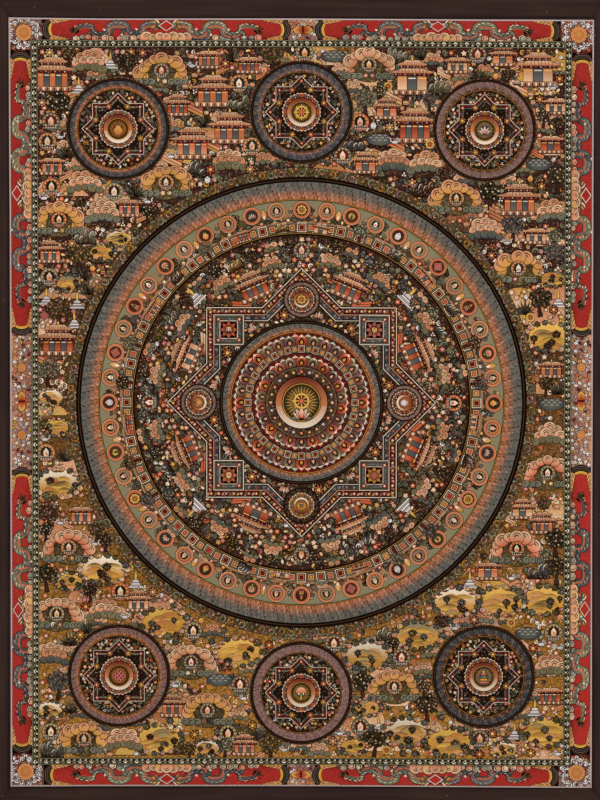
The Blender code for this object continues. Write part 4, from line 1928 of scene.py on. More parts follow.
@dataclass(frozen=True)
class DarkCottonFinish(Finish):
    """The surround's plain dark cotton, with worn streaks along the strips, a few pale specks, and a painted
    shadow line beside the canvas's edge.
    """

    name: str = "dark_brown_cotton"
    weave_pitch: float = 0.0016
    speck_scale: float = 42.0
    # Where the painted shadow line beside the canvas's edge lies across the strip, and its width.
    painted_shadow_at: float = 0.0135
    painted_shadow_wide: float = 0.0025
    relief: float = 0.00022

    def surface(self, graph: Graph) -> None:
        """Weaves the cotton, with a painted shadow line across it beside the canvas's edge, which lies over
        the cloth there.
        """
        place = graph.flat_place()
        weave = graph.weave(place, self.weave_pitch)
        streaks = graph.noise(graph.stretched(place, (2.2, 60.0, 1.0)), 2.6, 4.0, 0.55)
        clouds = graph.noise(place, 11.0, 4.0)
        slubs = graph.noise(graph.stretched(place, (1.0, 9.0, 1.0)), 120.0)
        specks = (0.045 - graph.cells(place, self.speck_scale)).clipped() * 22.0
        worn = ((streaks - 0.5) * 2.6 + (clouds - 0.5) * 1.4 + 0.35).clipped()
        cloth = graph.mix(worn, BORDER_CLOTH.rgba, WORN_CLOTH.rgba)
        cloth = graph.mix(specks.clipped() * 0.5, cloth, THREAD.rgba)
        # Painted shadow: a narrow dark band across the strip beside the canvas's raised edge, standing in for
        # the shade that edge casts.
        run = graph.node("SeparateXYZ", {"Vector": place}, "Y")
        seam = (1.0 - run.maths("ABSOLUTE", run - self.painted_shadow_at) * (1 / self.painted_shadow_wide)).clipped()
        # weave * 0.10 is painted shade of the weave's relief, lighter on the crests and darker in the
        # hollows; the last factor lays the painted shadow line.
        shaded = graph.shaded(cloth, (0.82 + slubs * 0.26 + weave * 0.10) * (1.0 - seam * 0.55))
        graph.cloth(shaded, weave * 0.6 + slubs * 0.5, self.relief, 0.92, Specular_IOR_Level=0.05)


@dataclass(frozen=True)
class ThreadFinish(Finish):
    """Spun sewing thread."""

    paint: Paint

    def surface(self, graph: Graph) -> None:
        """Spins the thread from fibres."""
        fibre = graph.noise(graph.node("TexCoord", output="Object"), 900.0)
        colour = graph.shaded(graph.mix(fibre, self.paint.rgba, EARTH.rgba), 0.8 + fibre * 0.4)
        graph.cloth(colour, fibre, 0.0001, 0.8, Specular_IOR_Level=0.3)


@dataclass(frozen=True)
class FloorFinish(Finish):
    """The plain pale floor."""

    name: str = "pale_floor"

    def surface(self, graph: Graph) -> None:
        """Gives the floor its one colour and a faint unevenness."""
        graph.cloth(FLOOR.rgba, graph.noise(graph.node("TexCoord", output="Object"), 3.0), 0.0002, 0.9)


# Cloth and paint as meshes


Cut = tuple[np.ndarray, np.ndarray, np.ndarray]
FORWARD = np.array((0.0, -1.0, 0.0))
# What shows on a cut's side where that is no outline's number: nothing, or not known yet.
OUTSIDE = -1
UNTOLD = -2


@dataclass(frozen=True)
class Drape:
    """How the hanging hangs, as its solids do. Metres."""

    width: float = 0.759
    height: float = 1.000
    side_border: float = 0.045
    end_border: float = 0.060
    canvas_thick: float = 0.0012
    cloth_thick: float = 0.0015
    lap: float = 0.012
    hem: float = 0.014
    fold_radius: float = 0.0009
    seam_gap: float = 0.0004
    mitre_gap: float = 0.000005
    held_straight: float = 0.030
    hangs_freely: float = 0.300

    SIDE_DRIFT = (
        # down, left, right
        (0.00, 0.0009, 0.0023),
        (0.25, -0.0007, 0.0018),
        (0.50, -0.0010, 0.0009),
        (0.75, -0.0018, -0.0002),
        (1.00, -0.0016, -0.0013),
    )
    END_DRIFT = (
        # across, top, bottom
        (0.00, 0.0014, 0.0003),
        (0.15, 0.0000, -0.0004),
        (0.50, 0.0001, 0.0000),
        (0.80, -0.0013, 0.0003),
        (1.00, -0.0018, 0.0012),
    )
    RIPPLES = (
        # across, down, depth, start in turns
        (0.92, 1.40, 0.0022, 0.15),
        (0.47, 2.60, 0.0011, 0.60),
        (1.60, 0.55, 0.0008, 0.35),
    )

    @property
    def canvas_middle(self) -> float:
        """How far back the middle of the canvas's thickness lies."""
        return -(self.fold_radius + self.cloth_thick / 2 + self.seam_gap + self.canvas_thick / 2)

    def hang(self, x: np.ndarray, z: np.ndarray) -> np.ndarray:
        """How far the cloth stands forward or back at places on it.

        Args:
            x: the places to the right.
            z: the places' heights.

        Returns:
            How far back each place is moved, in metres.
        """
        down = np.clip((-z - self.held_straight) / (self.hangs_freely - self.held_straight), 0, 1)
        waves = sum(
            depth * np.sin(TURN * (x / across + z / fall + start))
            for across, fall, depth, start in self.RIPPLES
        )
        return down * down * (3 - 2 * down) * waves

    def on_canvas(self, flat_points: np.ndarray, back: float) -> np.ndarray:
        """Places on the canvas, as it hangs.

        Args:
            flat_points: places in millimetres to the right of the canvas's middle and up from it.
            back: how far they lie behind the canvas's own middle, in metres.

        Returns:
            The places in the row's frame.
        """
        across = 0.5 + flat_points[:, 0] * MM / self.width
        down = 0.5 - flat_points[:, 1] * MM / self.height
        sides, ends = np.array(self.SIDE_DRIFT).T, np.array(self.END_DRIFT).T
        left, right = (np.interp(down, sides[0], edge) for edge in sides[1:])
        top, bottom = (np.interp(across, ends[0], edge) for edge in ends[1:])
        x = -self.width / 2 - left + (self.width + left + right) * across
        z = -self.end_border + top - (self.height + top + bottom) * down
        return np.stack([x, self.canvas_middle + back + self.hang(x, z), z], 1)


def mesh_from(name: str, places: np.ndarray, faces: np.ndarray, smooth: np.ndarray) -> bpy.types.Mesh:
    """A mesh from arrays.

    Args:
        name: the mesh's name.
        places: its vertices.
        faces: its faces, all with the same number of corners.
        smooth: whether each face is shaded smooth.

    Returns:
        The new mesh.
    """
    mesh = bpy.data.meshes.new(name)
    sides = faces.shape[1]
    mesh.vertices.add(len(places))
    mesh.vertices.foreach_set("co", places.astype(np.float32).ravel())
    mesh.loops.add(faces.size)
    mesh.loops.foreach_set("vertex_index", faces.astype(np.int32).ravel())
    mesh.polygons.add(len(faces))
    mesh.polygons.foreach_set("loop_start", np.arange(len(faces), dtype=np.int32) * sides)
    mesh.polygons.foreach_set("use_smooth", smooth)
    mesh.update(calc_edges=True)
    return mesh


def add_map(mesh: bpy.types.Mesh, name: str, corners: np.ndarray) -> None:
    """Adds a UV map, one row a corner."""
    mesh.uv_layers.new(name=name, do_init=False).uv.foreach_set("vector", corners.astype(np.float32).ravel())


def add_shares(mesh: bpy.types.Mesh, name: str, shares: np.ndarray) -> None:
    """Adds an attribute of one number a corner."""
    mesh.attributes.new(name, "FLOAT", "CORNER").data.foreach_set("value", shares.astype(np.float32).ravel())


def edges_of(triangles: np.ndarray) -> np.ndarray:
    """The three edges of each triangle, all its first ones before all its second ones."""
    return np.concatenate([triangles[:, (0, 1)], triangles[:, (1, 2)], triangles[:, (2, 0)]])


def in_pairs(edges: np.ndarray, total: int) -> tuple[np.ndarray, np.ndarray]:
    """An order that sets an edge beside the same edge run the other way, and which of them, so set, have one.

    Args:
        edges: edges as pairs of corner numbers.
        total: how many corners there are.

    Returns:
        The order, and for each edge but the last in that order whether the next is the same.
    """
    key = edges.min(1) * total + edges.max(1)
    order = np.argsort(key, kind="stable")
    return order, key[order][1:] == key[order][:-1]


def show(name: str, mesh: bpy.types.Mesh, material: bpy.types.Material) -> bpy.types.Object:
    """Puts a mesh in the scene as a piece that rides on the body.

    Args:
        name: the piece's name.
        mesh: its mesh.
        material: its material.

    Returns:
        The new piece.
    """
    mesh.materials.append(material)
    piece = bpy.data.objects.new(name, mesh)
    bpy.context.scene.collection.objects.link(piece)
    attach(piece, BODY)
    LOG.info("%s: %d faces", name, len(mesh.polygons))
    return piece


@dataclass(frozen=True)
class PaintFilm:
    """A film of paint on the canvas: one picture, cut to an outline and flattened to a single layer."""

    name: str
    outline: np.ndarray
    holes: tuple[np.ndarray, ...] = ()
    lift: float = 0.00003
    thick: float = 0.00012
    cell: float = 12.0
    back_cell: float = 24.0
    merge: float = 0.001
    straight: float = 0.004
    spreads: int = 60

    def _grid(self, cell: float) -> np.ndarray:
        """Points on an even grid over the film."""
        low, high = self.outline.min(0), self.outline.max(0)
        axes = [np.arange(start + cell / 2, end, cell) for start, end in zip(low, high)]
        return np.stack(np.meshgrid(*axes), -1).reshape(-1, 2)

    @staticmethod
    def _cut(outlines: list[np.ndarray], spots: np.ndarray, holes: int, merge: float) -> Cut:
        """Cuts outlines along one another.

        Args:
            outlines: the first bounds the film, the last few are its holes.
            spots: points that have to be corners too.
            holes: how many holes there are.
            merge: how near points have to be to become one.

        Returns:
            The corners, the triangles inside the film, and the topmost outline over each triangle.
        """
        corners = [Vector(point) for point in np.concatenate([*outlines, spots]).tolist()]
        ends = np.cumsum([len(outline) for outline in outlines])
        faces = [list(range(end - len(outline), end)) for outline, end in zip(outlines, ends.tolist())]
        found, _, triangles, _, _, sources = delaunay_2d_cdt(corners, [], faces, 1, merge, True)
        inside = np.array([0 in over for over in sources])
        sources = [over or [0] for over in sources]
        found, triangles = np.array(found), np.array(triangles)
        counts = np.array([len(over) for over in sources])
        over = np.concatenate([np.array(ids) for ids in sources])
        covered = np.bincount(over, np.repeat(doubled_areas(found[triangles]), counts), len(outlines))
        # A shape so small that its points became one can run out over its neighbours, and is left out.
        meant = np.array([doubled_areas(outline[None])[0] for outline in outlines])
        over[(covered > meant * 1.5 + 1.0)[over] & (over < len(outlines) - holes)] = 0
        top = np.maximum.reduceat(over, np.cumsum(counts) - counts)
        kept = inside & (top < len(outlines) - holes)
        return found, triangles[kept], top[kept]

    def _settled(self, corners: np.ndarray, triangles: np.ndarray, top: np.ndarray) -> Cut:
        """The same picture, with the cuts that later paint hides taken out.

        Args:
            corners: the cut picture's corners.
            triangles: its triangles.
            top: the outline that shows on each.

        Returns:
            New corners, triangles and tops, with cuts only where two outlines meet to the eye.
        """
        way = edges_of(triangles)
        order, again = in_pairs(way, len(corners))
        way, left = way[order], np.tile(top, 3)[order]
        first = np.flatnonzero(np.r_[True, ~again])
        paired = np.r_[np.diff(first), len(way) - first[-1]] > 1
        right = np.where(paired, left[np.minimum(first + 1, len(left) - 1)], OUTSIDE)
        shows = left[first] != right
        cuts, sides = self._straightened(corners, way[first[shows]], np.stack([left[first], right], 1)[shows])
        used, cuts = np.unique(cuts, return_inverse=True)
        cuts, corners = cuts.reshape(-1, 2), corners[used]
        spots = [Vector(point) for point in np.concatenate([corners, self._grid(self.cell)]).tolist()]
        found, edges, triangles, _, sources, _ = delaunay_2d_cdt(spots, cuts.tolist(), [], 0, 1e-6, True)
        found, triangles = np.array(found), np.array(triangles)
        known = {}
        for (start, end), ids in zip(edges, sources):
            if ids:
                cut = ids[0]
                along = (found[end] - found[start]) @ (corners[cuts[cut][1]] - corners[cuts[cut][0]]) > 0
                known[start, end], known[end, start] = sides[cut] if along else sides[cut][::-1]
        way = triangles[:, ((0, 1), (1, 2), (2, 0))].reshape(-1, 2)
        side = np.array([known.get(pair, UNTOLD) for pair in map(tuple, way.tolist())])
        top = side.reshape(-1, 3).max(1)
        # What shows on a triangle with a cut at its side spreads over those with none.
        order, again = in_pairs(way, len(found))
        twins = np.flatnonzero(again & (side[order][1:] == UNTOLD))
        one, two = order[twins] // 3, order[twins + 1] // 3
        for to, by in [(one, two), (two, one)] * self.spreads:
            told = (top[to] == UNTOLD) & (top[by] != UNTOLD)
            top[to[told]] = top[by[told]]
        return found, triangles[top >= 0], top[top >= 0]

    def _straightened(
        self, corners: np.ndarray, cuts: np.ndarray, sides: np.ndarray
    ) -> tuple[np.ndarray, np.ndarray]:
        """Joins cuts that run straight on through a corner.

        Args:
            corners: the picture's corners.
            cuts: each cut's two ends.
            sides: what shows on each cut's left and right.

        Returns:
            The cuts that are left, and their sides.
        """
        near: dict[int, list[int]] = {}
        for number, (start, end) in enumerate(cuts.tolist()):
            near.setdefault(start, []).append(number)
            near.setdefault(end, []).append(number)
        ends, owners, spots = cuts.tolist(), sides.tolist(), corners.tolist()
        for corner, (one, *others) in near.items():
            if len(others) != 1 or one == others[0]:
                continue
            two = others[0]
            before, after = (ends[number][0] + ends[number][1] - corner for number in (one, two))
            (ax, ay), (bx, by), (cx, cy) = spots[before], spots[corner], spots[after]
            span = math.hypot(cx - ax, cy - ay)
            bend = abs((bx - ax) * (cy - ay) - (by - ay) * (cx - ax))
            joined = any(after in ends[number] for number in near[before])
            if joined or span > self.cell or bend > self.straight * span:
                continue
            if ends[one][0] == corner:
                owners[one] = owners[one][::-1]
            ends[one], ends[two] = [before, after], None
            near[after] = [one if number == two else number for number in near[after]]
        kept = [number for number, pair in enumerate(ends) if pair]
        return np.array([ends[number] for number in kept]), np.array([owners[number] for number in kept])

    def build(self, picture: Picture, drape: Drape, material: bpy.types.Material) -> bpy.types.Object:
        """Flattens a picture and lays it on the canvas as a closed film.

        Args:
            picture: what is painted.
            drape: how the canvas hangs.
            material: the paint.

        Returns:
            The film.
        """
        shown = picture.within(self.outline.min(0), self.outline.max(0))
        bounds = [divided(outline, self.cell) for outline in (self.outline, *self.holes)]
        outlines = [bounds[0], *shown.outlines, *bounds[1:]]
        cut = self._cut(outlines, self._grid(self.cell), len(self.holes), self.merge)
        front, triangles, top = self._settled(*cut)
        used, triangles = np.unique(triangles, return_inverse=True)
        front, triangles = front[used], triangles.reshape(-1, 3)
        rim = self._rim(triangles)
        back, behind = self._back(front, rim)
        depth = drape.canvas_thick / 2 + self.lift
        places = np.concatenate([drape.on_canvas(front, -depth - self.thick), drape.on_canvas(back, -depth)])
        where = np.full(len(front), -1)
        start, end = np.concatenate(rim), np.concatenate([np.roll(loop, -1) for loop in rim])
        where[start] = len(front) + np.arange(len(start))
        near, far = np.stack([end, start, where[start]], 1), np.stack([end, where[start], where[end]], 1)
        wall = np.concatenate([near, far])
        faces = np.concatenate([triangles, wall, behind[:, ::-1] + len(front)])
        smooth = np.arange(len(faces)) < len(triangles)
        mesh = mesh_from(self.name, places, faces, smooth)
        corners = np.concatenate([front, back])[faces]
        self._colour(mesh, shown, corners, np.pad(top, (0, len(faces) - len(top))), len(triangles))
        mesh.normals_split_custom_set(self._normals(drape, mesh, faces, len(triangles)))
        return show(self.name, mesh, material)

    @staticmethod
    def _rim(triangles: np.ndarray) -> list[np.ndarray]:
        """The loops of corners round the film's edge and its holes, with the film on their left.

        Args:
            triangles: the front's triangles.

        Returns:
            Each loop's corners in their order.
        """
        edges = edges_of(triangles).tolist()
        known = set(map(tuple, edges))
        after = {start: end for start, end in edges if (end, start) not in known}
        loops = []
        while after:
            start, at = next(iter(after.items()))
            del after[start]
            loop = [start]
            while at != start:
                loop.append(at)
                at = after.pop(at)
            loops.append(np.array(loop))
        return loops

    def _back(self, front: np.ndarray, rim: list[np.ndarray]) -> tuple[np.ndarray, np.ndarray]:
        """The film's back: its corners, the rim's first, and its triangles.

        Args:
            front: the front's corners.
            rim: the loops round its edge and its holes.

        Returns:
            The corners and the triangles.
        """
        outlines = sorted((front[loop] for loop in rim), key=lambda loop: -np.ptp(loop[:, 0]))
        bounds = [outlines[0], *(loop[::-1] for loop in outlines[1:])]
        found, triangles, _ = self._cut(bounds, self._grid(self.back_cell), len(rim) - 1, 1e-5)
        # The cut's corners come in its own order, so each is found again by its place.
        flat_rim = front[np.concatenate(rim)]
        nearest = {tuple(np.round(place, 3)): index for index, place in enumerate(flat_rim)}
        renamed = np.array([nearest.get(tuple(np.round(place, 3)), -1) for place in found])
        extra = np.flatnonzero(renamed < 0)
        renamed[extra] = len(flat_rim) + np.arange(len(extra))
        return np.concatenate([flat_rim, found[extra]]), renamed[triangles]

    def _colour(
        self, mesh: bpy.types.Mesh, shown: Picture, corners: np.ndarray, top: np.ndarray, faced: int
    ) -> None:
        """Gives each corner its colours, its place on the flat canvas and its place on the baked map.

        Args:
            mesh: the film.
            shown: the picture.
            corners: where each face's corners lie on the flat canvas.
            top: the outline over each face, 0 where only the ground shows.
            faced: how many faces are on the front.
        """
        ground = (*GROUND.rgba[:3], *GROUND.rgba[:3], 0.0, 0.0)
        colours = np.array([ground, *shown.colours])[top][:, None, :]
        laid = np.array([(0.0, 0.0, 0.0, 1.0, 0.0, 0.0), *shown.places])[top][:, None, :]
        away, way = corners - laid[..., :2], laid[..., 2:4]
        length = np.maximum((way**2).sum(-1), 1e-12)
        outwards, begins = laid[..., 4], laid[..., 5]
        share = np.where(outwards > 0, np.sqrt((away**2).sum(-1) / length), (away * way).sum(-1) / length)
        share = np.clip((share - begins) / (1 - begins), 0, 1)[..., None]
        mixed = colours[..., :3] * (1 - share) + colours[..., 3:6] * share
        painted = np.concatenate([mixed, np.broadcast_to(colours[..., 6:7], share.shape)], -1)
        layer = mesh.color_attributes.new(PAINT_COLOURS, "FLOAT_COLOR", "CORNER")
        layer.data.foreach_set("color", painted.astype(np.float32).ravel())
        add_shares(mesh, GOLD_SHARE, np.broadcast_to(colours[..., 7], share.shape[:2]))
        add_map(mesh, FLAT_MAP, corners * MM)
        low, span = self.outline.min(0), np.ptp(self.outline, axis=0)
        unit = (corners - low) / span
        baked = 0.01 + unit * (0.98, 0.95)
        baked[faced:, :, 1] = 0.968 + unit[faced:, :, 1] * 0.024
        add_map(mesh, BAKE_MAP, baked)

    @staticmethod
    def _normals(drape: Drape, mesh: bpy.types.Mesh, faces: np.ndarray, faced: int) -> np.ndarray:
        """The hanging cloth's own normals on the front, and each face's own elsewhere.

        Args:
            drape: the way the cloth hangs.
            mesh: the film's mesh.
            faces: its triangles.
            faced: how many of them are the front's.

        Returns:
            A normal for each corner of each triangle.
        """
        step = 0.001
        places = np.empty(len(mesh.vertices) * 3, np.float32)
        mesh.vertices.foreach_get("co", places)
        x, _, z = places.reshape(-1, 3).astype(float).T
        lean_x = (drape.hang(x + step, z) - drape.hang(x - step, z)) / (2 * step)
        lean_z = (drape.hang(x, z + step) - drape.hang(x, z - step)) / (2 * step)
        normals = np.stack([lean_x, -np.ones_like(x), lean_z], 1)
        normals /= np.linalg.norm(normals, axis=1, keepdims=True)
        found = np.zeros((*faces.shape, 3))
        found[:faced] = normals[faces[:faced]]
        return found.reshape(-1, 3)


def closed_sheet(name: str, front: np.ndarray, back: np.ndarray, flat_places: np.ndarray) -> bpy.types.Mesh:
    """A closed sheet of cloth from two grids of points.

    Args:
        name: the mesh's name.
        front: the front's points, in rows, anticlockwise as seen from the front.
        back: the back's points.
        flat_places: where each point lies on the flat cloth, in metres.

    Returns:
        The mesh, with a flat map, a baked map and the share of each corner that is behind.
    """
    rows, columns = front.shape[:2]
    index = np.arange(rows * columns).reshape(rows, columns)
    count = rows * columns
    quads = np.stack([index[:-1, :-1], index[:-1, 1:], index[1:, 1:], index[1:, :-1]], -1).reshape(-1, 4)
    loop = np.concatenate([index[0], index[1:, -1], index[-1, -2::-1], index[-2:0:-1, 0]])
    after = np.roll(loop, -1)
    wall = np.stack([after, loop, loop + count, after + count], 1)
    faces = np.concatenate([quads, wall, quads[:, ::-1] + count])
    smooth = np.ones(len(faces), bool)
    smooth[len(quads) : len(quads) + len(wall)] = False
    mesh = mesh_from(name, np.concatenate([front.reshape(-1, 3), back.reshape(-1, 3)]), faces, smooth)
    places = np.concatenate([flat_places.reshape(-1, 2)] * 2)[faces]
    add_map(mesh, FLAT_MAP, places)
    unit = (places - flat_places.reshape(-1, 2).min(0)) / np.ptp(flat_places.reshape(-1, 2), axis=0)
    turned = np.ptp(flat_places[..., 0]) > np.ptp(flat_places[..., 1])
    along, across = (unit[..., 0], unit[..., 1]) if turned else (unit[..., 1], unit[..., 0])
    behind = np.arange(len(faces)) >= len(quads) + len(wall)
    half = np.where(behind[:, None], 0.51, 0.01)
    baked = np.stack([0.01 + 0.98 * along, half + 0.48 * across], -1)
    add_map(mesh, BAKE_MAP, baked)
    add_shares(mesh, BEHIND, np.repeat(behind, 4))
    return mesh


@dataclass
class PaintedCanvas:
    """The cotton canvas, the films of paint on it, and the stitches that hold it down."""

    drape: Drape
    cells: tuple[int, int] = (60, 80)
    stitch_inset: float = 1.4
    stitch_pitch: float = 5.2
    stitch_length: float = 2.9
    stitch_radius: float = 0.00022
    lap: float = 2.0
    wheel_lift: float = 0.00018
    heart_lift: float = 0.00033
    first_seed: int = 40

    # Where the small wheels' middles are: three above the great wheel and three below it.
    SMALL_WHEELS = (
        (0.0, 378.0), (238.0, 356.0), (-238.0, 356.0), (0.0, -378.0), (238.0, -356.0), (-238.0, -356.0)
    )

    def build(self) -> None:
        """Builds the canvas and everything on it."""
        pieces = [film.build(picture, self.drape, paint) for film, picture, paint in self._films()]
        pieces.append(self._stitching())
        canvas = self._cloth()
        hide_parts("painted_canvas")

    def _films(self) -> Iterable[tuple[PaintFilm, Picture, bpy.types.Material]]:
        """The films of paint in the order in which they are laid, each with its picture and its finish.

        Returns:
            Each film with its picture and its finish.
        """
        paint, border, great = PaintFinish().make(), PaintedBorder(), GreatWheel()
        reach = SmallWheel.radius
        wheels = (((0.0, 0.0), great.radius), *((spot, reach) for spot in self.SMALL_WHEELS))
        across, up = border.field
        whole = box(-border.half_width, -border.half_height, border.half_width, border.half_height)
        opening = box(-across, -up, across, up)
        ground = Landscape(border.field, wheels).paint()
        holes = tuple(oval(radius - self.lap, x=x, y=y, sides=96) for (x, y), radius in wheels)
        yield PaintFilm("painted_border", whole, (opening,)), border.paint(), paint
        yield PaintFilm("painted_landscape_upper", box(-across, 0, across, up), holes[:4]), ground, paint
        lower = holes[:1] + holes[4:]
        yield PaintFilm("painted_landscape_lower", box(-across, -up, across, 0), lower), ground, paint
        rim, hole = oval(great.radius, sides=180), oval(great.seam - self.lap, sides=120)
        yield PaintFilm("painted_wheel_rim", rim, (hole,), self.wheel_lift), great.paint_rim(), paint
        heart = oval(great.seam, sides=120)
        yield PaintFilm("painted_wheel_heart", heart, lift=self.heart_lift), great.paint_heart(), paint
        for number, (x, y) in enumerate(self.SMALL_WHEELS):
            edge = oval(reach, x=x, y=y, sides=96)
            film = PaintFilm(f"painted_small_wheel_{number + 1}", edge, lift=self.wheel_lift)
            yield film, SmallWheel(self.first_seed + number, tone=number).paint((x, y)), paint

    def _cloth(self) -> bpy.types.Object:
        """The canvas itself.

        Returns:
            The new piece.
        """
        spans = zip((self.drape.width / 2 / MM, self.drape.height / 2 / MM), self.cells)
        grid = np.stack(np.meshgrid(*(np.linspace(-half, half, cells + 1) for half, cells in spans)), -1)
        depths = (-self.drape.canvas_thick / 2, self.drape.canvas_thick / 2)
        flat_points, shape = grid.reshape(-1, 2), (*grid.shape[:2], 3)
        front, back = (self.drape.on_canvas(flat_points, depth).reshape(shape) for depth in depths)
        mesh = closed_sheet("canvas", front, back, grid * MM)
        return show("canvas", mesh, PrimedFinish().make())

    def _stitching(self) -> bpy.types.Object:
        """The running stitches along the canvas's bare edge.

        Returns:
            The new piece.
        """
        drape, half_length = self.drape, self.stitch_length / 2
        half_width, half_height = (size / 2 / MM - self.stitch_inset for size in (drape.width, drape.height))
        rng = Random(3)
        ends: list[tuple[np.ndarray, np.ndarray]] = []
        for half, away, upright in ((half_width, half_height, False), (half_height, half_width, True)):
            count = int(2 * half / self.stitch_pitch)
            for step in range(count):
                middle = -half + (step + 0.5) * 2 * half / count + rng.uniform(-0.3, 0.3)
                for side in (-1, 1):
                    aside = side * away + rng.uniform(-0.15, 0.15)
                    pair = np.array(((middle - half_length, aside), (middle + half_length, aside)))
                    pair = pair[:, ::-1] if upright else pair
                    ends.append(tuple(drape.on_canvas(pair, -drape.canvas_thick / 2)))
        thread = ThreadFinish("cream_thread", THREAD).make()
        return stitches("canvas_stitching", ends, self.stitch_radius, thread)


def stitches(
    name: str,
    ends: list[tuple[np.ndarray, np.ndarray]],
    radius: float,
    material: bpy.types.Material,
) -> bpy.types.Object:
    """Many short stitches as one piece: spindles that lie half sunk in the cloth.

    Args:
        name: the piece's name.
        ends: each stitch's two ends.
        radius: a stitch's radius at its middle.
        material: the thread.

    Returns:
        The piece.
    """
    sides = 6
    angles = np.arange(sides) * TURN / sides
    # share of a stitch's length, share of its radius
    rows = ((0.0, 0.0), (0.12, 0.75), (0.5, 1.0), (0.88, 0.75), (1.0, 0.0))
    places, faces = [], []
    for start, end in ends:
        along = (end - start) / np.linalg.norm(end - start)
        forward = FORWARD - along * (FORWARD @ along)
        forward /= np.linalg.norm(forward)
        aside = np.cross(along, forward)
        base = len(places)
        for share, size in rows:
            middle = start + (end - start) * share
            for angle in angles if 0 < share < 1 else angles[:1]:
                out = forward * math.sin(angle) + aside * math.cos(angle)
                places.append(middle + radius * size * out)
        rings = [base + 1 + ring_number * sides for ring_number in range(3)]
        tip = base + 1 + 3 * sides
        for side in range(sides):
            after = (side + 1) % sides
            faces.append((base, rings[0] + after, rings[0] + side))
            for first, second in zip(rings, rings[1:]):
                faces.append((first + side, first + after, second + after))
                faces.append((first + side, second + after, second + side))
            faces.append((tip, rings[2] + side, rings[2] + after))
    mesh = mesh_from(name, np.array(places), np.array(faces), np.ones(len(faces), bool))
    return show(name, mesh, material)


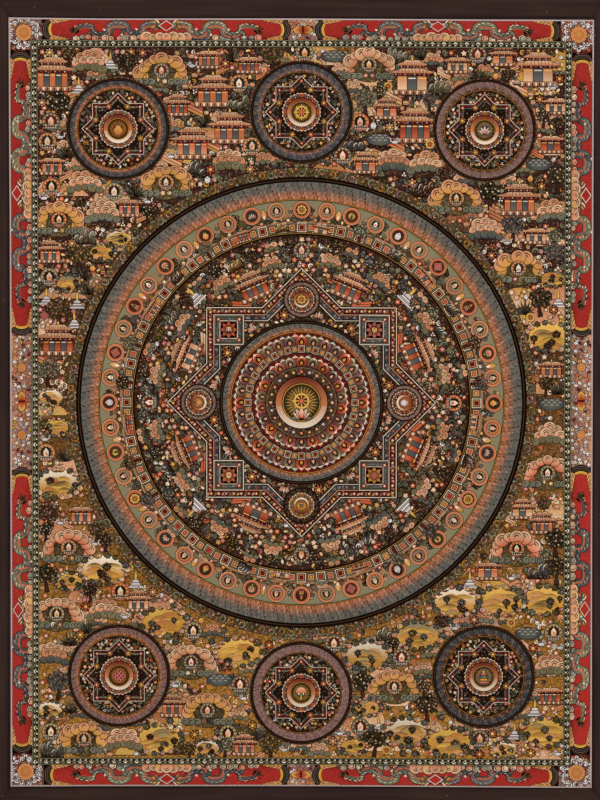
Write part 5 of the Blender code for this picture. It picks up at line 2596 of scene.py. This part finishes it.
@dataclass
class Surround:
    """The four dark cloth strips, each mitred and hemmed along its outer edge, and their stitches."""

    drape: Drape
    cell: float = 0.007
    row: float = 0.0028
    pucker: float = 0.00035
    stitch_pitch: float = 0.0072
    stitch_length: float = 0.0026
    stitch_radius: float = 0.00024
    stitch_inset: float = 0.0025
    first_stitch: float = 0.012

    def build(self) -> None:
        """Builds the strips and their hem stitches."""
        drape = self.drape
        x, top = drape.width / 2 - drape.lap, -drape.end_border - drape.lap
        bottom = -drape.end_border - drape.height + drape.lap
        inner = ((-x, top), (x, top), (x, bottom), (-x, bottom))
        x, bottom = drape.width / 2 + drape.side_border, -2 * drape.end_border - drape.height
        outer = ((-x, 0.0), (x, 0.0), (x, bottom), (-x, bottom))
        cotton = DarkCottonFinish().make()
        thread = ThreadFinish("dark_thread", DARK_THREAD).make()
        for number, side in enumerate(("top", "right", "bottom", "left")):
            after = (number + 1) % 4
            ends = [np.array(corner) for corner in (inner[number], inner[after], outer[number], outer[after])]
            self._strip(side, ends, number, cotton, thread)

    def _strip(
        self,
        side: str,
        ends: list[np.ndarray],
        number: int,
        cotton: bpy.types.Material,
        thread: bpy.types.Material,
    ) -> None:
        """Builds one strip.

        Args:
            side: which one.
            ends: its inner edge's start and end, and its outer edge's.
            number: its number, which sets its puckers.
            cotton: the cloth's material.
            thread: the stitches' material.
        """
        drape = self.drape
        inner_start, inner_end, outer_start, outer_end = ends
        length = float(np.linalg.norm(outer_end - outer_start))
        along = (outer_end - outer_start) / length
        width = float((outer_start - inner_start) @ (-along[1], along[0]))
        middle, facing, run = self._section(width)

        def place(out: np.ndarray, back: np.ndarray, shares: np.ndarray) -> np.ndarray:
            """The hanging points for rows of the section, at shares of the strip's length.

            Args:
                out: how far out each row lies.
                back: how far back each row lies.
                shares: the shares of the strip's length.

            Returns:
                The points, row by row.
            """
            part = (out / width)[:, None, None]
            start = inner_start + (outer_start - inner_start) * part + along * drape.mitre_gap
            end = inner_end + (outer_end - inner_end) * part - along * drape.mitre_gap
            flat_place = start + (end - start) * shares[None, :, None]
            x, z = flat_place[..., 0], flat_place[..., 1]
            y = back[:, None] + drape.hang(x, z) + self._puckers(out, back, flat_place @ along, width, number)
            return np.stack([x, y, z], -1)

        shares = np.linspace(0, 1, round(length / self.cell) + 1)
        half = drape.cloth_thick / 2
        front, back = (place(*(middle + facing * offset).T, shares) for offset in (half, -half))
        flat_places = np.stack(np.meshgrid(shares * length, run), -1) + (number * 1.7, 0.0)
        mesh = closed_sheet(f"strip_{side}", front[:, ::-1], back[:, ::-1], flat_places[:, ::-1])
        strip = show(f"border_strip_{side}", mesh, cotton)
        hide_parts(f"border_{side}")

        pairs: list[tuple[np.ndarray, np.ndarray]] = []
        out = np.array([width - drape.hem + self.stitch_inset])
        for depth in (-drape.fold_radius - half, drape.fold_radius + half):
            for step in range(int((length - 0.02) / self.stitch_pitch)):
                begin = self.first_stitch + (step + 0.5 * (depth > 0)) * self.stitch_pitch
                ends_at = np.array([begin, begin + self.stitch_length]) / length
                pairs.append(tuple(place(out, np.array([depth]), ends_at)[0]))
        sewing = stitches(f"hem_stitching_{side}", pairs, self.stitch_radius, thread)

    def _puckers(
        self, out: np.ndarray, back: np.ndarray, along: np.ndarray, width: float, number: int
    ) -> np.ndarray:
        """Faint puckers along the strip, where it lies open between the canvas and its hem.

        Args:
            out: how far out each row of the section lies.
            back: how far back each row lies.
            along: how far along the strip each point lies.
            width: the strip's width.
            number: the strip's number.

        Returns:
            How far back each point is moved.
        """
        drape = self.drape
        room = np.minimum(out - drape.lap - 0.001, width - drape.hem - out)
        open_cloth = np.clip(room / 0.008, 0, 1) * (back < 0)
        sway = 0.28 * np.sin(TURN * (along / 0.31 + number * 0.23))
        folds = np.sin(TURN * (out[:, None] / 0.0105 + sway + number * 0.4))
        folds = folds * (0.55 + 0.45 * np.sin(TURN * (along / 0.171 + number * 0.37)))
        return self.pucker * folds * open_cloth[:, None]

    def _section(self, width: float) -> tuple[np.ndarray, np.ndarray, np.ndarray]:
        """A strip's section.

        Args:
            width: the strip's width, without its hem.

        Returns:
            Its points as (out, back), the way each faces, and how far along the cloth each is.
        """
        drape = self.drape
        radius = drape.fold_radius
        fold = width - drape.cloth_thick / 2 - radius
        flat_rows = np.linspace(0, fold, round(fold / self.row), endpoint=False)
        angles = np.linspace(0, math.pi, 9)
        hem = np.linspace(fold, width - drape.hem, 6)[1:]
        out = np.concatenate([flat_rows, fold + radius * np.sin(angles), hem])
        before, after = np.full(len(flat_rows), -radius), np.full(len(hem), radius)
        back = np.concatenate([before, -radius * np.cos(angles), after])
        turning = np.stack([np.sin(angles), -np.cos(angles)], 1)
        ahead, behind = np.tile((0.0, -1.0), (len(flat_rows), 1)), np.tile((0.0, 1.0), (len(hem), 1))
        facing = np.concatenate([ahead, turning, behind])
        middle = np.stack([out, back], 1)
        run = np.concatenate([[0.0], np.cumsum(np.linalg.norm(np.diff(middle, axis=0), axis=1))])
        return middle, facing, run


# The room


@dataclass
class Studio:
    """A pale floor, soft light from all round, and the photograph's camera."""

    floor_drop: float = 1.30
    frame_height: float = 1.0417
    focal: float = 100.0
    sensor: float = 36.0
    middle: tuple[float, float, float] = (-0.001, -0.003, -0.5567)

    LAMPS = (
        # name, place, size, power
        ("soft_front_left", (-1.9, -2.6, 0.9), 2.2, 36.0),
        ("soft_front_right", (2.0, -2.5, 0.2), 2.2, 27.0),
        ("soft_back", (0.6, 2.8, 0.7), 2.4, 48.0),
    )

    def build(self) -> None:
        """Builds the room."""
        scene = bpy.context.scene
        scene.view_settings.view_transform = "Standard"
        scene.view_settings.look = "None"
        self._floor()
        self._air(scene)
        for name, place, size, power in self.LAMPS:
            self._lamp(name, Vector(place), size, power)
        self._camera(scene)

    def _floor(self) -> None:
        """Lays the floor."""
        corners = np.array([(x, y, -self.floor_drop) for x, y in square(4.0)])
        mesh = mesh_from("floor", corners, np.array(((0, 1, 2, 3),)), np.zeros(1, bool))
        mesh.materials.append(FloorFinish().make())
        floor = bpy.data.objects.new("floor", mesh)
        bpy.context.scene.collection.objects.link(floor)
        floor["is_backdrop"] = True

    def _air(self, scene: bpy.types.Scene) -> None:
        """Fills the room with even light."""
        world = bpy.data.worlds.new("studio_air")
        world.use_nodes = True
        background = world.node_tree.nodes["Background"]
        background.inputs["Color"].default_value = (1.0, 0.985, 0.965, 1.0)
        background.inputs["Strength"].default_value = 0.50
        scene.world = world

    def _lamp(self, name: str, place: Vector, size: float, power: float) -> None:
        """Sets up one soft lamp that faces the hanging's middle.

        Args:
            name: its name.
            place: where it stands.
            size: its side, in metres.
            power: its power, in watts.
        """
        light = bpy.data.lights.new(name, "AREA")
        light.size, light.energy = size, power
        lamp = bpy.data.objects.new(name, light)
        lamp.location = place
        lamp.rotation_mode = "QUATERNION"
        lamp.rotation_quaternion = (Vector(self.middle) - place).to_track_quat("-Z", "Y")
        bpy.context.scene.collection.objects.link(lamp)

    def _camera(self, scene: bpy.types.Scene) -> None:
        """Sets up the camera, level and square on."""
        lens = bpy.data.cameras.new("camera")
        lens.lens, lens.sensor_width = self.focal, self.sensor
        camera = bpy.data.objects.new("camera", lens)
        x, y, z = self.middle
        camera.location = (x, y - self.frame_height * self.focal / self.sensor, z)
        camera.rotation_euler = (QUARTER, 0.0, 0.0)
        scene.collection.objects.link(camera)
        scene.camera = camera


def write_size() -> None:
    """Gathers the CAD model's box and the visual model's box as lists of corners."""
    boxes = {"cad": CAD_BOUNDS, "visual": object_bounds()}
    rows = {name: [list(corner) for corner in found] for name, found in boxes.items()}


def main() -> None:
    """Builds the hanging and the room round it."""
    logging.basicConfig(level=logging.INFO, format="%(message)s")
    drape = Drape()
    Surround(drape).build()
    PaintedCanvas(drape).build()
    Studio().build()
    write_size()


if __name__ == "__main__":
    main()
